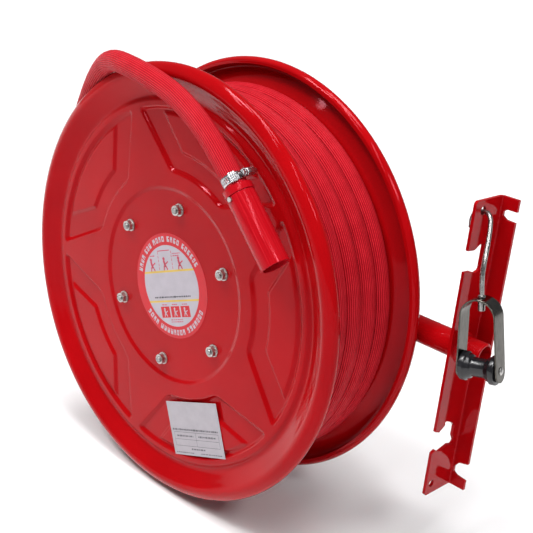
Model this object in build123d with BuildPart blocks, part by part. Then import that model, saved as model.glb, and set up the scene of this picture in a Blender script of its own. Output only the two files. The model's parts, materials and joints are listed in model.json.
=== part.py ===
"""Wall-mounted fire hose reel with waterway pipe, bracket, hose, nozzle and hose guide.

Millimetres. The origin is on the bracket's wall face, level with the water pipe.
+Z is up, the wall is the plane Y = 0 and the reel faces -Y.
"""

import os
from math import cos, pi, radians, sin, tan

from build123d import *

os.makedirs("parts", exist_ok=True)

# ---------------------------------------------------------------- driving dimensions
REEL_X = -350.0  # reel axis, left of the bracket
RIM_R = 290.0  # outside radius of the side discs
FRONT_RIM_Y = -212.0  # plane of the front disc's widest circle
REAR_RIM_Y = -63.0  # plane of the rear disc's widest circle
SHEET = 1.2  # disc sheet thickness
HUB_HEIGHT = -1.5  # outer face of the hub recess, from the rim plane
FLAT_HEIGHT = 1.0  # outer face of the flat between hub recess and rim
PANEL_DEPTH = 4.0  # depth of the pressed panels
PANEL_COUNT = 5
PANEL_ANGLE = 77.0  # first panel, from +X towards +Z
WALL_OPENING_R = 27.0  # opening for the elbow in the rear disc

HOSE_OD = 28.0
HOSE_BORE = 20.0
LAYER_RISE = 23.2  # radial step from one layer of hose to the next
TURN_PITCH = 27.6
OUTER_TURN_R = 243.0
LAYER_TURNS = [4, 5, 4, 5, 4, 4]  # from the drum outwards
MID_Y = (FRONT_RIM_Y + REAR_RIM_Y) / 2

DRUM_R = 113.0
DRUM_WALL = 1.2
BOLT_R = 106.5  # radius of the bolt circle
BOLT_COUNT = 6
BOLT_ANGLE = 87.4  # first bolt, from +X towards +Z
STUD_R = 4.0  # M8
STUD_STICKS_OUT = 2.5
NUT_FLATS = 13.0
NUT_HEIGHT = 6.5
WASHER_R = 8.2
WASHER_HEIGHT = 1.6

PIPE_Y = -30.5
PIPE_R = 16.85  # 1 inch pipe, 33.7 mm outside
PIPE_BORE_R = 13.65
PIPE_END_X = 20.0
THREAD_R = 16.62  # 1 inch parallel pipe thread
THREAD_LENGTH = 20.0
SPINDLE_R = 16.0
SPINDLE_BORE_R = 11.0
RUNNING_GAP = 0.05

PLATE = 4.0  # bracket plate
BRACKET_TOP = 191.0
BRACKET_BOTTOM = -202.0
SIDE_FLANGE_X = -11.3  # inner face of the flange that stands off the wall
SIDE_FLANGE_DEPTH = 58.0
WALL_FLANGE_END = 11.0

NOZZLE_R = 18.0
NOZZLE_LENGTH = 103.0
COLLAR_LENGTH = 9.0

ROD_R = 2.75
STRAP_TOP = Vector(28.7, -78, 91.5)
STRAP_LEAN = -10.3  # about Y
STRAP_YAW = 9.0  # about the rod
STRAP_WIDTH = 25.0
STRAP_SHEET = 2.0
STRAP_ARC_R = 22.0
STRAP_LENGTH = 98.0
STRAP_FLARE = 3.0
PIN_DROP = 84.0  # roller pin below the top of the strap
PIN_R = 3.5

FREE_ROUTE = [
    (-586.2, -193.4, -63.3),
    (-609.0, -189.0, 22.7),
    (-606.5, -184.0, 119.6),
    (-584.2, -191.5, 193.6),
    (-541.5, -208.0, 244.6),
    (-488.9, -224.0, 272.7),
    (-430.2, -238.0, 279.7),
    (-368.8, -243.0, 269.3),
    (-320.0, -242.5, 255.5),
    (-259.1, -242.0, 219.5),
    (-215.0, -242.0, 176.0),
]

# ---------------------------------------------------------------- shared planes and helpers
REEL_AXIS = Axis((REEL_X, 0, 0), (0, 1, 0))
SECTION = Plane(origin=(REEL_X, 0, 0), x_dir=(1, 0, 0), z_dir=(0, 0, 1))
FRONT = Plane(origin=(REEL_X, 0, 0), x_dir=(1, 0, 0), z_dir=(0, -1, 0))
MID_PLANE = Plane(origin=(REEL_X, MID_Y, 0), x_dir=(1, 0, 0), z_dir=(0, 1, 0))
NOZZLE_START = Vector(*FREE_ROUTE[-1])
NOZZLE_DIR = (NOZZLE_START - Vector(*FREE_ROUTE[-2])).normalized()
NOZZLE = Plane(origin=NOZZLE_START, x_dir=(0, -1, 0), z_dir=NOZZLE_DIR)
NOZZLE_AXIS = Axis(NOZZLE_START, NOZZLE_DIR)
STRAP_FRAME = Pos(*STRAP_TOP) * Rot(Y=STRAP_LEAN) * Rot(Z=STRAP_YAW)


def facing(y):
    """Plane across the reel axis at y, seen from the front."""
    return FRONT.offset(-y)


def ring_section(r_in, r_out, y_low, y_high):
    """Rectangle in the reel's half section, as sizes for a centred Rectangle."""
    return (r_in + r_out) / 2, (y_low + y_high) / 2, r_out - r_in, y_high - y_low


# ---------------------------------------------------------------- side discs
HUB_FACE_Y = FRONT_RIM_Y - HUB_HEIGHT
FLAT_FACE_Y = FRONT_RIM_Y - FLAT_HEIGHT
RIM_SHAPE = [(241, 1.0), (249.5, -2.6), (263, 4.6), (276, 11.0), (286.5, 7.0), (290, 0), (287, -6)]



def fan(r_in, half_in, r_out, half_out):
    """Closed outline between two arcs about the reel axis, centred on local X."""
    corners = []
    for share in (1, 0.5, 0, -0.5, -1):
        angle = radians(share * half_in)
        corners.append((r_in * cos(angle), r_in * sin(angle)))
    for share in (-1, -0.67, -0.33, 0, 0.33, 0.67, 1):
        angle = radians(share * half_out)
        corners.append((r_out * cos(angle), r_out * sin(angle)))
    return corners


with BuildSketch() as panel_outline:
    with BuildLine():
        Polyline(*fan(151, 18.6, 234, 34), close=True)
    make_face()
    by_width = panel_outline.vertices().sort_by(Axis.Y)
    fillet(panel_outline.vertices().sort_by(Axis.X)[:2] + [by_width[0], by_width[-1]], 7)

with BuildSketch() as panel_pocket:
    offset(panel_outline.sketch, amount=-SHEET)

with BuildSketch() as panel_island:
    with BuildLine():
        Polyline(*fan(178, 12.4, 228, 23.5), close=True)
    make_face()

with BuildSketch() as island_hollow:
    offset(panel_island.sketch, amount=-SHEET)

FLOOR_Y = FLAT_FACE_Y + PANEL_DEPTH
ISLAND_RISE = PANEL_DEPTH - 1
PRESSINGS = [
    (panel_pocket, FLAT_FACE_Y - 0.1, SHEET + 0.2, 0, Mode.SUBTRACT),
    (panel_outline, FLAT_FACE_Y, PANEL_DEPTH + SHEET, 25, Mode.ADD),
    (panel_pocket, FLAT_FACE_Y - 0.01, PANEL_DEPTH, 25, Mode.SUBTRACT),
    (panel_island, FLOOR_Y, -ISLAND_RISE, 25, Mode.ADD),
    (island_hollow, FLOOR_Y + SHEET + 0.01, -ISLAND_RISE, 25, Mode.SUBTRACT),
]

with BuildPart() as front_disc:
    with BuildSketch(SECTION):
        with BuildLine():
            outer = [(0, HUB_FACE_Y), (127.5, HUB_FACE_Y), (133, FLAT_FACE_Y), (241, FLAT_FACE_Y)]
            Polyline(*outer)
            rim = Spline(*[(r, FRONT_RIM_Y - h) for r, h in RIM_SHAPE], tangents=((1, 0), (-0.6, 1)))
            inner = []
            for step in range(15):
                along = rim % (step / 14)
                inner.append((rim @ (step / 14)) + Vector(-along.Y, along.X) * SHEET)
            Spline(*inner)
            Line(rim @ 1, inner[-1])
            Polyline(*[(r, y + SHEET) for r, y in outer])
            Line((0, HUB_FACE_Y), (0, HUB_FACE_Y + SHEET))
        make_face()
    revolve(axis=REEL_AXIS)
    # pressed panels: a tapered pan let into the flat, with a raised island in its floor
    for outline, start_y, depth, slope, how in PRESSINGS:
        with BuildSketch(facing(start_y)):
            for number in range(PANEL_COUNT):
                add(outline.sketch, rotation=PANEL_ANGLE + number * 360 / PANEL_COUNT)
        extrude(amount=-depth, taper=slope, mode=how)
    with BuildSketch(facing(HUB_FACE_Y)):
        with PolarLocations(BOLT_R, BOLT_COUNT, start_angle=BOLT_ANGLE):
            Circle(STUD_R + 0.5)
    extrude(amount=10, both=True, mode=Mode.SUBTRACT)
front_disc.part.label = "front_disc"
export_step(front_disc.part, "parts/front_disc.step")

with BuildPart() as rear_disc:
    add(mirror(front_disc.part, about=MID_PLANE))
    with BuildSketch(facing(REAR_RIM_Y)):
        Circle(WALL_OPENING_R)
    extrude(amount=20, both=True, mode=Mode.SUBTRACT)
rear_disc.part.label = "rear_disc"
export_step(rear_disc.part, "parts/rear_disc.step")

# ---------------------------------------------------------------- drum core and fasteners
FRONT_INNER_Y = HUB_FACE_Y + SHEET
REAR_INNER_Y = 2 * MID_Y - FRONT_INNER_Y
REAR_HUB_Y = 2 * MID_Y - HUB_FACE_Y
WEB = 3.0
FIRST_TURN_R = OUTER_TURN_R - (len(LAYER_TURNS) - 1) * LAYER_RISE
OUTLET_Y = MID_Y - 1.5 * TURN_PITCH  # outlet lies in the first turn's place
OUTLET_ANGLE = radians(BOLT_ANGLE + 150)  # midway between two studs
OUTWARD = Vector(cos(OUTLET_ANGLE), 0, sin(OUTLET_ANGLE))
WINDING = Vector(sin(OUTLET_ANGLE), 0, -cos(OUTLET_ANGLE))
RISER = Plane(origin=(REEL_X, OUTLET_Y, 0), x_dir=(0, 1, 0), z_dir=OUTWARD)
TAIL = Plane(origin=RISER.origin + OUTWARD * FIRST_TURN_R, x_dir=(0, 1, 0), z_dir=WINDING)
print("hose start, mm:", [round(v, 1) for v in TAIL.origin + WINDING * 16], "heading", WINDING)

with BuildPart() as front_web:
    with BuildSketch(facing(FRONT_INNER_Y)):
        Circle(DRUM_R - DRUM_WALL - 0.3)
        with PolarLocations(BOLT_R, BOLT_COUNT, start_angle=BOLT_ANGLE):
            Circle(STUD_R + 0.1, mode=Mode.SUBTRACT)
    extrude(amount=-WEB)
front_web.part.label = "front_web"
export_step(front_web.part, "parts/front_web.step")

with BuildPart() as rear_web:
    with BuildSketch(facing(REAR_INNER_Y)):
        Circle(DRUM_R - DRUM_WALL - 0.3)
        Circle(WALL_OPENING_R, mode=Mode.SUBTRACT)
        with PolarLocations(BOLT_R, BOLT_COUNT, start_angle=BOLT_ANGLE):
            Circle(STUD_R + 0.1, mode=Mode.SUBTRACT)
    extrude(amount=WEB)
rear_web.part.label = "rear_web"
export_step(rear_web.part, "parts/rear_web.step")

with BuildPart() as drum_shell:
    with BuildSketch(facing(FRONT_INNER_Y)):
        Circle(DRUM_R)
        Circle(DRUM_R - DRUM_WALL, mode=Mode.SUBTRACT)
    extrude(amount=FRONT_INNER_Y - REAR_INNER_Y)
    with BuildSketch(RISER.offset(80)):
        Circle(10)
    extrude(amount=40, mode=Mode.SUBTRACT)
drum_shell.part.label = "drum_shell"
export_step(drum_shell.part, "parts/drum_shell.step")

STUD_FRONT_Y = HUB_FACE_Y - WASHER_HEIGHT - NUT_HEIGHT - STUD_STICKS_OUT
STUD_REAR_Y = 2 * MID_Y - STUD_FRONT_Y

with BuildPart() as tie_studs:
    with BuildSketch(facing(STUD_FRONT_Y)):
        with PolarLocations(BOLT_R, BOLT_COUNT, start_angle=BOLT_ANGLE):
            Circle(STUD_R)
    extrude(amount=STUD_FRONT_Y - STUD_REAR_Y)
    ends = tie_studs.edges().filter_by(GeomType.CIRCLE)
    chamfer(ends, 0.8)
tie_studs.part.label = "tie_studs"
export_step(tie_studs.part, "parts/tie_studs.step")


def washers(y, step):
    """Six washers from plane y, thickness along step (+1 towards the front)."""
    with BuildPart() as ring:
        with BuildSketch(facing(y)):
            with PolarLocations(BOLT_R, BOLT_COUNT, start_angle=BOLT_ANGLE):
                Circle(WASHER_R)
                Circle(STUD_R + 0.3, mode=Mode.SUBTRACT)
        extrude(amount=step * WASHER_HEIGHT)
    return ring.part


def nuts(y, step):
    """Six hexagon nuts from plane y, chamfered on their outer side."""
    with BuildPart() as nut:
        with BuildSketch(facing(y)):
            with PolarLocations(BOLT_R, BOLT_COUNT, start_angle=BOLT_ANGLE):
                RegularPolygon(NUT_FLATS / 2 / cos(pi / 6), 6)
                Circle(STUD_R + 0.05, mode=Mode.SUBTRACT)
        extrude(amount=step * NUT_HEIGHT)
        with BuildSketch(facing(y)):
            with PolarLocations(BOLT_R, BOLT_COUNT, start_angle=BOLT_ANGLE):
                Circle(NUT_FLATS / 2 + 1.8)
        extrude(amount=step * NUT_HEIGHT, taper=14, mode=Mode.INTERSECT)
    return nut.part


with BuildPart() as front_washers:
    add(washers(HUB_FACE_Y, 1))
front_washers.part.label = "front_washers"
export_step(front_washers.part, "parts/front_washers.step")

with BuildPart() as rear_washers:
    add(washers(REAR_HUB_Y, -1))
rear_washers.part.label = "rear_washers"
export_step(rear_washers.part, "parts/rear_washers.step")

with BuildPart() as front_nuts:
    add(nuts(HUB_FACE_Y - WASHER_HEIGHT, 1))
front_nuts.part.label = "front_nuts"
export_step(front_nuts.part, "parts/front_nuts.step")

with BuildPart() as rear_nuts:
    add(nuts(REAR_HUB_Y + WASHER_HEIGHT, -1))
rear_nuts.part.label = "rear_nuts"
export_step(rear_nuts.part, "parts/rear_nuts.step")

# ---------------------------------------------------------------- hub, bushes and water outlet
HUB_FRONT_Y = FRONT_INNER_Y + WEB
HUB_REAR_Y = REAR_INNER_Y - WEB
BEARING_FACE_Y = -196.0
CHAMBER = (-190.0, -168.0)
BUSH_R = 19.0

with BuildPart() as hub_body:
    with BuildSketch(SECTION):
        for r_in, r_out, low, high in (
            (SPINDLE_R + RUNNING_GAP, 27, BEARING_FACE_Y, HUB_REAR_Y - 8),
            (27, 34, HUB_FRONT_Y, BEARING_FACE_Y + 12),
            (WALL_OPENING_R, 48, HUB_REAR_Y - 8, HUB_REAR_Y),
            (27, 36, HUB_REAR_Y - 16, HUB_REAR_Y - 8),
            (24, 48, HUB_REAR_Y - 12, HUB_REAR_Y - 8),
        ):
            mid_r, mid_y, wide, tall = ring_section(r_in, r_out, low, high)
            with Locations((mid_r, mid_y)):
                Rectangle(wide, tall)
    revolve(axis=REEL_AXIS)
    with BuildSketch(SECTION):
        for r_out, low, high in (
            (21, *CHAMBER),
            (BUSH_R, BEARING_FACE_Y, BEARING_FACE_Y + 4),
            (BUSH_R, HUB_REAR_Y - 36, HUB_REAR_Y - 8),
        ):
            mid_r, mid_y, wide, tall = ring_section(0, r_out, low, high)
            with Locations((mid_r, mid_y)):
                Rectangle(wide, tall)
    revolve(axis=REEL_AXIS, mode=Mode.SUBTRACT)
    with BuildSketch(RISER.offset(19)):
        Circle(8.5)
    extrude(amount=20, mode=Mode.SUBTRACT)
hub_body.part.label = "hub_body"
export_step(hub_body.part, "parts/hub_body.step")

with BuildPart() as hub_bushes:
    with BuildSketch(SECTION):
        for low, high in ((BEARING_FACE_Y, BEARING_FACE_Y + 4), (HUB_REAR_Y - 36, HUB_REAR_Y - 8)):
            mid_r, mid_y, wide, tall = ring_section(SPINDLE_R + RUNNING_GAP, BUSH_R, low, high)
            with Locations((mid_r, mid_y)):
                Rectangle(wide, tall)
    revolve(axis=REEL_AXIS)
hub_bushes.part.label = "hub_bushes"
export_step(hub_bushes.part, "parts/hub_bushes.step")


with BuildPart() as hose_outlet:
    with BuildSketch(RISER.offset(22)):
        Circle(8.45)
    extrude(amount=FIRST_TURN_R - 22)
    with Locations(tuple(TAIL.origin)):
        Sphere(11)
    with BuildSketch(TAIL):
        Circle(9.9)
    extrude(amount=36)
    for barb in range(3):
        with BuildSketch(TAIL.offset(16 + 6 * barb)):
            Circle(9.2)
            Circle(10.0, mode=Mode.SUBTRACT)
    with BuildSketch(RISER.offset(22)):
        Circle(6.5)
    extrude(amount=FIRST_TURN_R - 22, mode=Mode.SUBTRACT)
    with BuildSketch(TAIL.offset(-4)):
        Circle(6.5)
    extrude(amount=44, mode=Mode.SUBTRACT)
hose_outlet.part.label = "hose_outlet"
export_step(hose_outlet.part, "parts/hose_outlet.step")

with BuildPart() as inner_clamp:
    with BuildSketch(TAIL.offset(22)):
        Circle(HOSE_OD / 2 + 1.3)
        Circle(HOSE_OD / 2 + 0.1, mode=Mode.SUBTRACT)
    extrude(amount=10)
inner_clamp.part.label = "inner_clamp"
export_step(inner_clamp.part, "parts/inner_clamp.step")

# ---------------------------------------------------------------- wound hose and free end
WOUND_FRONT_Y = MID_Y - 2 * TURN_PITCH - HOSE_OD / 2
WOUND_REAR_Y = MID_Y + 2 * TURN_PITCH + HOSE_OD / 2
OUTER_R = OUTER_TURN_R + HOSE_OD / 2
LAST_TURN_Y = MID_Y - TURN_PITCH

with BuildPart() as hose_coil:
    with BuildSketch(SECTION):
        with BuildLine():
            Polyline(
                (DRUM_R + 0.3, WOUND_FRONT_Y),
                (228.0, WOUND_FRONT_Y),
                (228.0, LAST_TURN_Y - 20),
                (233.0, LAST_TURN_Y - 13.4),
                (OUTER_TURN_R, LAST_TURN_Y - 12.6),
                (OUTER_TURN_R + 9.0, LAST_TURN_Y - 8.0),
                (OUTER_R - 0.8, LAST_TURN_Y - 2.0),
                (OUTER_R, LAST_TURN_Y + 2.0),
                (OUTER_R, WOUND_REAR_Y - 14),
                (OUTER_R - 4, WOUND_REAR_Y - 4),
                (OUTER_TURN_R, WOUND_REAR_Y),
                (DRUM_R + 0.3, WOUND_REAR_Y),
                close=True,
            )
        make_face()
    revolve(axis=REEL_AXIS)
    # room for the outlet, its clamp and the hose's own start on the tail
    with BuildSketch(RISER.offset(100)):
        Circle(12.5)
    extrude(amount=FIRST_TURN_R - 100, mode=Mode.SUBTRACT)
    with BuildSketch(TAIL.offset(-15)):
        Circle(HOSE_OD / 2 + 2)
    extrude(amount=51, mode=Mode.SUBTRACT)
    with BuildSketch(TAIL.offset(13)):
        Circle(HOSE_OD / 2)
    extrude(amount=26)
    with BuildSketch(TAIL.offset(13)):
        Circle(HOSE_BORE / 2)
    extrude(amount=30, mode=Mode.SUBTRACT)
hose_coil.part.label = "hose_coil"
export_step(hose_coil.part, "parts/hose_coil.step")


def bend_radii(points):
    """Radius of each corner's arc: 0.45 of its shorter run."""
    radii = []
    for before, corner, after in zip(points, points[1:], points[2:]):
        first = Vector(*corner) - Vector(*before)
        second = Vector(*after) - Vector(*corner)
        turn = radians(first.get_angle(second))
        radii.append(0.45 * min(first.length, second.length) / tan(turn / 2))
    return radii


FREE_RADII = bend_radii(FREE_ROUTE)
print("free hose bend radii, mm:", [round(r) for r in FREE_RADII])

with BuildPart() as hose_end:
    with BuildLine():
        route = FilletPolyline(*FREE_ROUTE, radius=FREE_RADII)
    with BuildSketch(Plane(origin=route @ 0, z_dir=route % 0)):
        Circle(HOSE_OD / 2)
        Circle(HOSE_BORE / 2, mode=Mode.SUBTRACT)
    sweep()
hose_end.part.label = "hose_end"
export_step(hose_end.part, "parts/hose_end.step")
section_area = pi * (HOSE_OD**2 - HOSE_BORE**2) / 4
volume_ratio = hose_end.part.volume / section_area / route.length
print("free hose length, mm:", round(route.length), "volume ratio:", round(volume_ratio, 4))

wound_length = 0
for layer, layer_turns in enumerate(LAYER_TURNS):
    wound_length += layer_turns * 2 * pi * (FIRST_TURN_R + layer * LAYER_RISE)
print("turns:", sum(LAYER_TURNS), "wound length, mm:", round(wound_length))

# ---------------------------------------------------------------- nozzle and its clamp
CLAMP_START = -15.0
CLAMP_WIDTH = 11.0
WORM_R = 2.6
WORM_HEIGHT = HOSE_OD / 2 + 6.0  # worm axis, from the hose axis
WORM_BACK = -22.5  # rear end of the worm's line, from the hose axis
WORM = Plane(
    origin=NOZZLE.from_local_coords((WORM_BACK, -WORM_HEIGHT, CLAMP_START + CLAMP_WIDTH / 2)),
    x_dir=NOZZLE_DIR,
    z_dir=(0, -1, 0),
)

with BuildPart() as clamp_band:
    with BuildSketch(NOZZLE.offset(CLAMP_START)):
        Circle(HOSE_OD / 2 + 1.2)
        with Locations((-10.5, -WORM_HEIGHT + 1.2)):
            RectangleRounded(12, 10, 2)
        Circle(HOSE_OD / 2 + 0.1, mode=Mode.SUBTRACT)
    extrude(amount=CLAMP_WIDTH)
    with BuildSketch(WORM):
        Circle(WORM_R + 0.05)
    extrude(amount=24, mode=Mode.SUBTRACT)
clamp_band.part.label = "clamp_band"
export_step(clamp_band.part, "parts/clamp_band.step")

with BuildPart() as clamp_screw:
    with BuildSketch(WORM.offset(2)):
        Circle(WORM_R)
    extrude(amount=20)
    with BuildSketch(WORM.offset(19.5)):
        Circle(4.5)
    extrude(amount=1.5)
    with BuildSketch(WORM.offset(21)):
        RegularPolygon(4.0, 6)
    extrude(amount=3.5)
    with BuildSketch(WORM.offset(23)):
        Rectangle(10, 1.1)
    extrude(amount=2, mode=Mode.SUBTRACT)
clamp_screw.part.label = "clamp_screw"
export_step(clamp_screw.part, "parts/clamp_screw.step")

BARREL_START = COLLAR_LENGTH + 0.4
SLEEVE_R = 15.2
SLEEVE_END = 46.0
MOUTH_R = 15.0
SCREW_ALONG = 12.6  # guide screw, from the start of the collar
SCREW_FACE = Plane(origin=NOZZLE_START + NOZZLE_DIR * SCREW_ALONG, x_dir=NOZZLE_DIR, z_dir=(0, -1, 0))
MOUTH_DEPTH = 38.0

with BuildPart() as nozzle_tail:
    with BuildSketch(NOZZLE.offset(-30)):
        Circle(HOSE_BORE / 2 - 0.05)
    extrude(amount=30)
    with BuildSketch(NOZZLE):
        Circle(NOZZLE_R + 0.4)
    extrude(amount=COLLAR_LENGTH)
    chamfer(nozzle_tail.edges().filter_by(GeomType.CIRCLE).sort_by(Axis.X)[-1], 0.5)
    with BuildSketch(NOZZLE.offset(COLLAR_LENGTH)):
        Circle(SLEEVE_R)
    extrude(amount=SLEEVE_END - COLLAR_LENGTH)
    with BuildSketch(NOZZLE.offset(SCREW_ALONG - 2.1)):
        Circle(SLEEVE_R + 1)
        Circle(SLEEVE_R - 2, mode=Mode.SUBTRACT)
    extrude(amount=4.2, mode=Mode.SUBTRACT)
    with BuildSketch(NOZZLE.offset(28)):
        Circle(SLEEVE_R + 1)
        Circle(SLEEVE_R - 2, mode=Mode.SUBTRACT)
    extrude(amount=3, mode=Mode.SUBTRACT)
    with BuildSketch(NOZZLE.offset(-31)):
        Circle(7)
    extrude(amount=SLEEVE_END + 32, mode=Mode.SUBTRACT)
nozzle_tail.part.label = "nozzle_tail"
export_step(nozzle_tail.part, "parts/nozzle_tail.step")

with BuildPart() as nozzle_seal:
    with BuildSketch(NOZZLE.offset(28.3)):
        Circle(SLEEVE_R + 0.22)
        Circle(SLEEVE_R - 2, mode=Mode.SUBTRACT)
    extrude(amount=2.4)
nozzle_seal.part.label = "nozzle_seal"
export_step(nozzle_seal.part, "parts/nozzle_seal.step")

with BuildPart() as nozzle_barrel:
    with BuildSketch(NOZZLE.offset(BARREL_START)):
        Circle(NOZZLE_R)
    extrude(amount=NOZZLE_LENGTH - BARREL_START)
    chamfer(nozzle_barrel.edges().filter_by(GeomType.CIRCLE), 0.6)
    with BuildSketch(NOZZLE.offset(BARREL_START - 1)):
        Circle(SLEEVE_R + 0.3)
    extrude(amount=SLEEVE_END + 15.3 - BARREL_START, mode=Mode.SUBTRACT)
    with BuildSketch(NOZZLE.offset(SLEEVE_END)):
        Circle(6)
    extrude(amount=30, mode=Mode.SUBTRACT)
    with BuildSketch(NOZZLE.offset(NOZZLE_LENGTH - MOUTH_DEPTH)):
        Circle(MOUTH_R)
    extrude(amount=MOUTH_DEPTH + 1, mode=Mode.SUBTRACT)
    with BuildSketch(SCREW_FACE):
        Circle(1.75)
    extrude(amount=NOZZLE_R + 2, mode=Mode.SUBTRACT)
nozzle_barrel.part.label = "nozzle_barrel"
export_step(nozzle_barrel.part, "parts/nozzle_barrel.step")

with BuildPart() as nozzle_screw:
    with BuildSketch(SCREW_FACE.offset(SLEEVE_R - 1.4)):
        Circle(1.7)
    extrude(amount=NOZZLE_R - SLEEVE_R + 1.5)
    with BuildSketch(SCREW_FACE.offset(NOZZLE_R)):
        RegularPolygon(3.2, 6)
    extrude(amount=2.2)
nozzle_screw.part.label = "nozzle_screw"
export_step(nozzle_screw.part, "parts/nozzle_screw.step")

with BuildPart() as shutoff_plug:
    with BuildSketch(NOZZLE.offset(20)):
        Circle(2.5)
    extrude(amount=28)
    with BuildSketch(NOZZLE.offset(SLEEVE_END + 1)):
        Circle(8)
    extrude(amount=5, taper=20)
    with BuildSketch(NOZZLE.offset(22)):
        Rectangle(13.9, 1.6)
        Rectangle(1.6, 13.9)
    extrude(amount=14)
shutoff_plug.part.label = "shutoff_plug"
export_step(shutoff_plug.part, "parts/shutoff_plug.step")

# ---------------------------------------------------------------- labels
LABEL_R = 70.5

with BuildPart() as hub_label:
    with BuildSketch(facing(HUB_FACE_Y - 0.02)):
        Circle(LABEL_R)
    extrude(amount=0.3)
hub_label.part.label = "hub_label"
export_step(hub_label.part, "parts/hub_label.step")

with BuildPart() as service_label:
    with BuildSketch(facing(FLAT_FACE_Y - 0.02)):
        with Locations(Location((71, -180, 0), (0, 0, 22))):
            Rectangle(102, 74)
    extrude(amount=0.3)
service_label.part.label = "service_label"
export_step(service_label.part, "parts/service_label.step")

# ---------------------------------------------------------------- fixed waterway
ELBOW_CENTRE = Vector(REEL_X, PIPE_Y, 0)
ELBOW_LEG = 35.5
SOCKET_DEPTH = 17.0
TO_PIPE = Plane(origin=ELBOW_CENTRE, x_dir=(0, 1, 0), z_dir=(1, 0, 0))
TO_SPINDLE = Plane(origin=ELBOW_CENTRE, x_dir=(1, 0, 0), z_dir=(0, -1, 0))

with BuildPart() as waterway_elbow:
    for leg in (TO_PIPE, TO_SPINDLE):
        with BuildSketch(leg):
            Circle(19.5)
        extrude(amount=ELBOW_LEG)
        with BuildSketch(leg.offset(ELBOW_LEG - 11)):
            Circle(22)
        extrude(amount=11)
    with Locations(Location(tuple(ELBOW_CENTRE))):
        Sphere(19.5)
    for leg, socket_r in ((TO_PIPE, PIPE_R + 0.05), (TO_SPINDLE, SPINDLE_R + 0.05)):
        with BuildSketch(leg):
            Circle(PIPE_BORE_R)
        extrude(amount=ELBOW_LEG + 1, mode=Mode.SUBTRACT)
        with BuildSketch(leg.offset(ELBOW_LEG - SOCKET_DEPTH)):
            Circle(socket_r)
        extrude(amount=SOCKET_DEPTH + 1, mode=Mode.SUBTRACT)
    with Locations(Location(tuple(ELBOW_CENTRE))):
        Sphere(PIPE_BORE_R, mode=Mode.SUBTRACT)
waterway_elbow.part.label = "waterway_elbow"
export_step(waterway_elbow.part, "parts/waterway_elbow.step")

PIPE_START_X = REEL_X + ELBOW_LEG - SOCKET_DEPTH
PIPE_PLANE = Plane(origin=(PIPE_START_X, PIPE_Y, 0), x_dir=(0, 1, 0), z_dir=(1, 0, 0))
PIPE_LENGTH = PIPE_END_X - PIPE_START_X

with BuildPart() as inlet_pipe:
    with BuildSketch(PIPE_PLANE):
        Circle(PIPE_R)
    extrude(amount=PIPE_LENGTH - THREAD_LENGTH)
    with BuildSketch(PIPE_PLANE):
        Circle(THREAD_R)
    extrude(amount=PIPE_LENGTH)
    chamfer(inlet_pipe.edges().filter_by(GeomType.CIRCLE).sort_by(Axis.X)[-1], 1.2)
    with BuildSketch(PIPE_PLANE):
        Circle(PIPE_BORE_R)
    extrude(amount=PIPE_LENGTH, mode=Mode.SUBTRACT)
inlet_pipe.part.label = "inlet_pipe"
export_step(inlet_pipe.part, "parts/inlet_pipe.step")

SPINDLE_REAR_Y = PIPE_Y - ELBOW_LEG + SOCKET_DEPTH - 0.5
SPINDLE_FRONT_Y = -205.0
RING_GROOVE_Y = -201.7
SEALS = [(CHAMBER[0] - 3.0, 2.0), (CHAMBER[1] + 3.5, 2.6)]  # front face and width of each seal groove

with BuildPart() as spindle:
    with BuildSketch(facing(SPINDLE_REAR_Y)):
        Circle(SPINDLE_R)
    extrude(amount=SPINDLE_REAR_Y - SPINDLE_FRONT_Y)
    with BuildSketch(facing(SPINDLE_REAR_Y)):
        Circle(SPINDLE_BORE_R)
    extrude(amount=SPINDLE_REAR_Y - CHAMBER[0], mode=Mode.SUBTRACT)
    for groove_y, width, depth in ((RING_GROOVE_Y, 1.8, 1.4), *[(y, w, 1.8) for y, w in SEALS]):
        with BuildSketch(facing(groove_y)):
            Circle(SPINDLE_R + 1)
            Circle(SPINDLE_R - depth, mode=Mode.SUBTRACT)
        extrude(amount=-width, mode=Mode.SUBTRACT)
    port_height = (CHAMBER[0] + CHAMBER[1]) / 2
    for port_dir in ((1, 0, 0), (0, 0, 1)):
        with BuildSketch(Plane(origin=(REEL_X, port_height, 0), z_dir=port_dir)):
            Circle(6)
        extrude(amount=20, both=True, mode=Mode.SUBTRACT)
spindle.part.label = "spindle"
export_step(spindle.part, "parts/spindle.step")

with BuildPart() as spindle_seals:
    for groove_y, width in SEALS:
        with BuildSketch(facing(groove_y + 0.1)):
            Circle(SPINDLE_R + 0.02)
            Circle(SPINDLE_R - 1.75, mode=Mode.SUBTRACT)
        extrude(amount=-(width - 0.2))
spindle_seals.part.label = "spindle_seals"
export_step(spindle_seals.part, "parts/spindle_seals.step")

with BuildPart() as thrust_washer:
    with BuildSketch(facing(BEARING_FACE_Y - 0.3)):
        Circle(25)
        Circle(SPINDLE_R + 0.1, mode=Mode.SUBTRACT)
    extrude(amount=3)
thrust_washer.part.label = "thrust_washer"
export_step(thrust_washer.part, "parts/thrust_washer.step")

with BuildPart() as retaining_ring:
    with BuildSketch(facing(RING_GROOVE_Y + 0.1)):
        Circle(20)
        Circle(SPINDLE_R - 1.2, mode=Mode.SUBTRACT)
        with Locations((0, -17)):
            Rectangle(6, 12, mode=Mode.SUBTRACT)
    extrude(amount=-1.6)
retaining_ring.part.label = "retaining_ring"
export_step(retaining_ring.part, "parts/retaining_ring.step")

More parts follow.
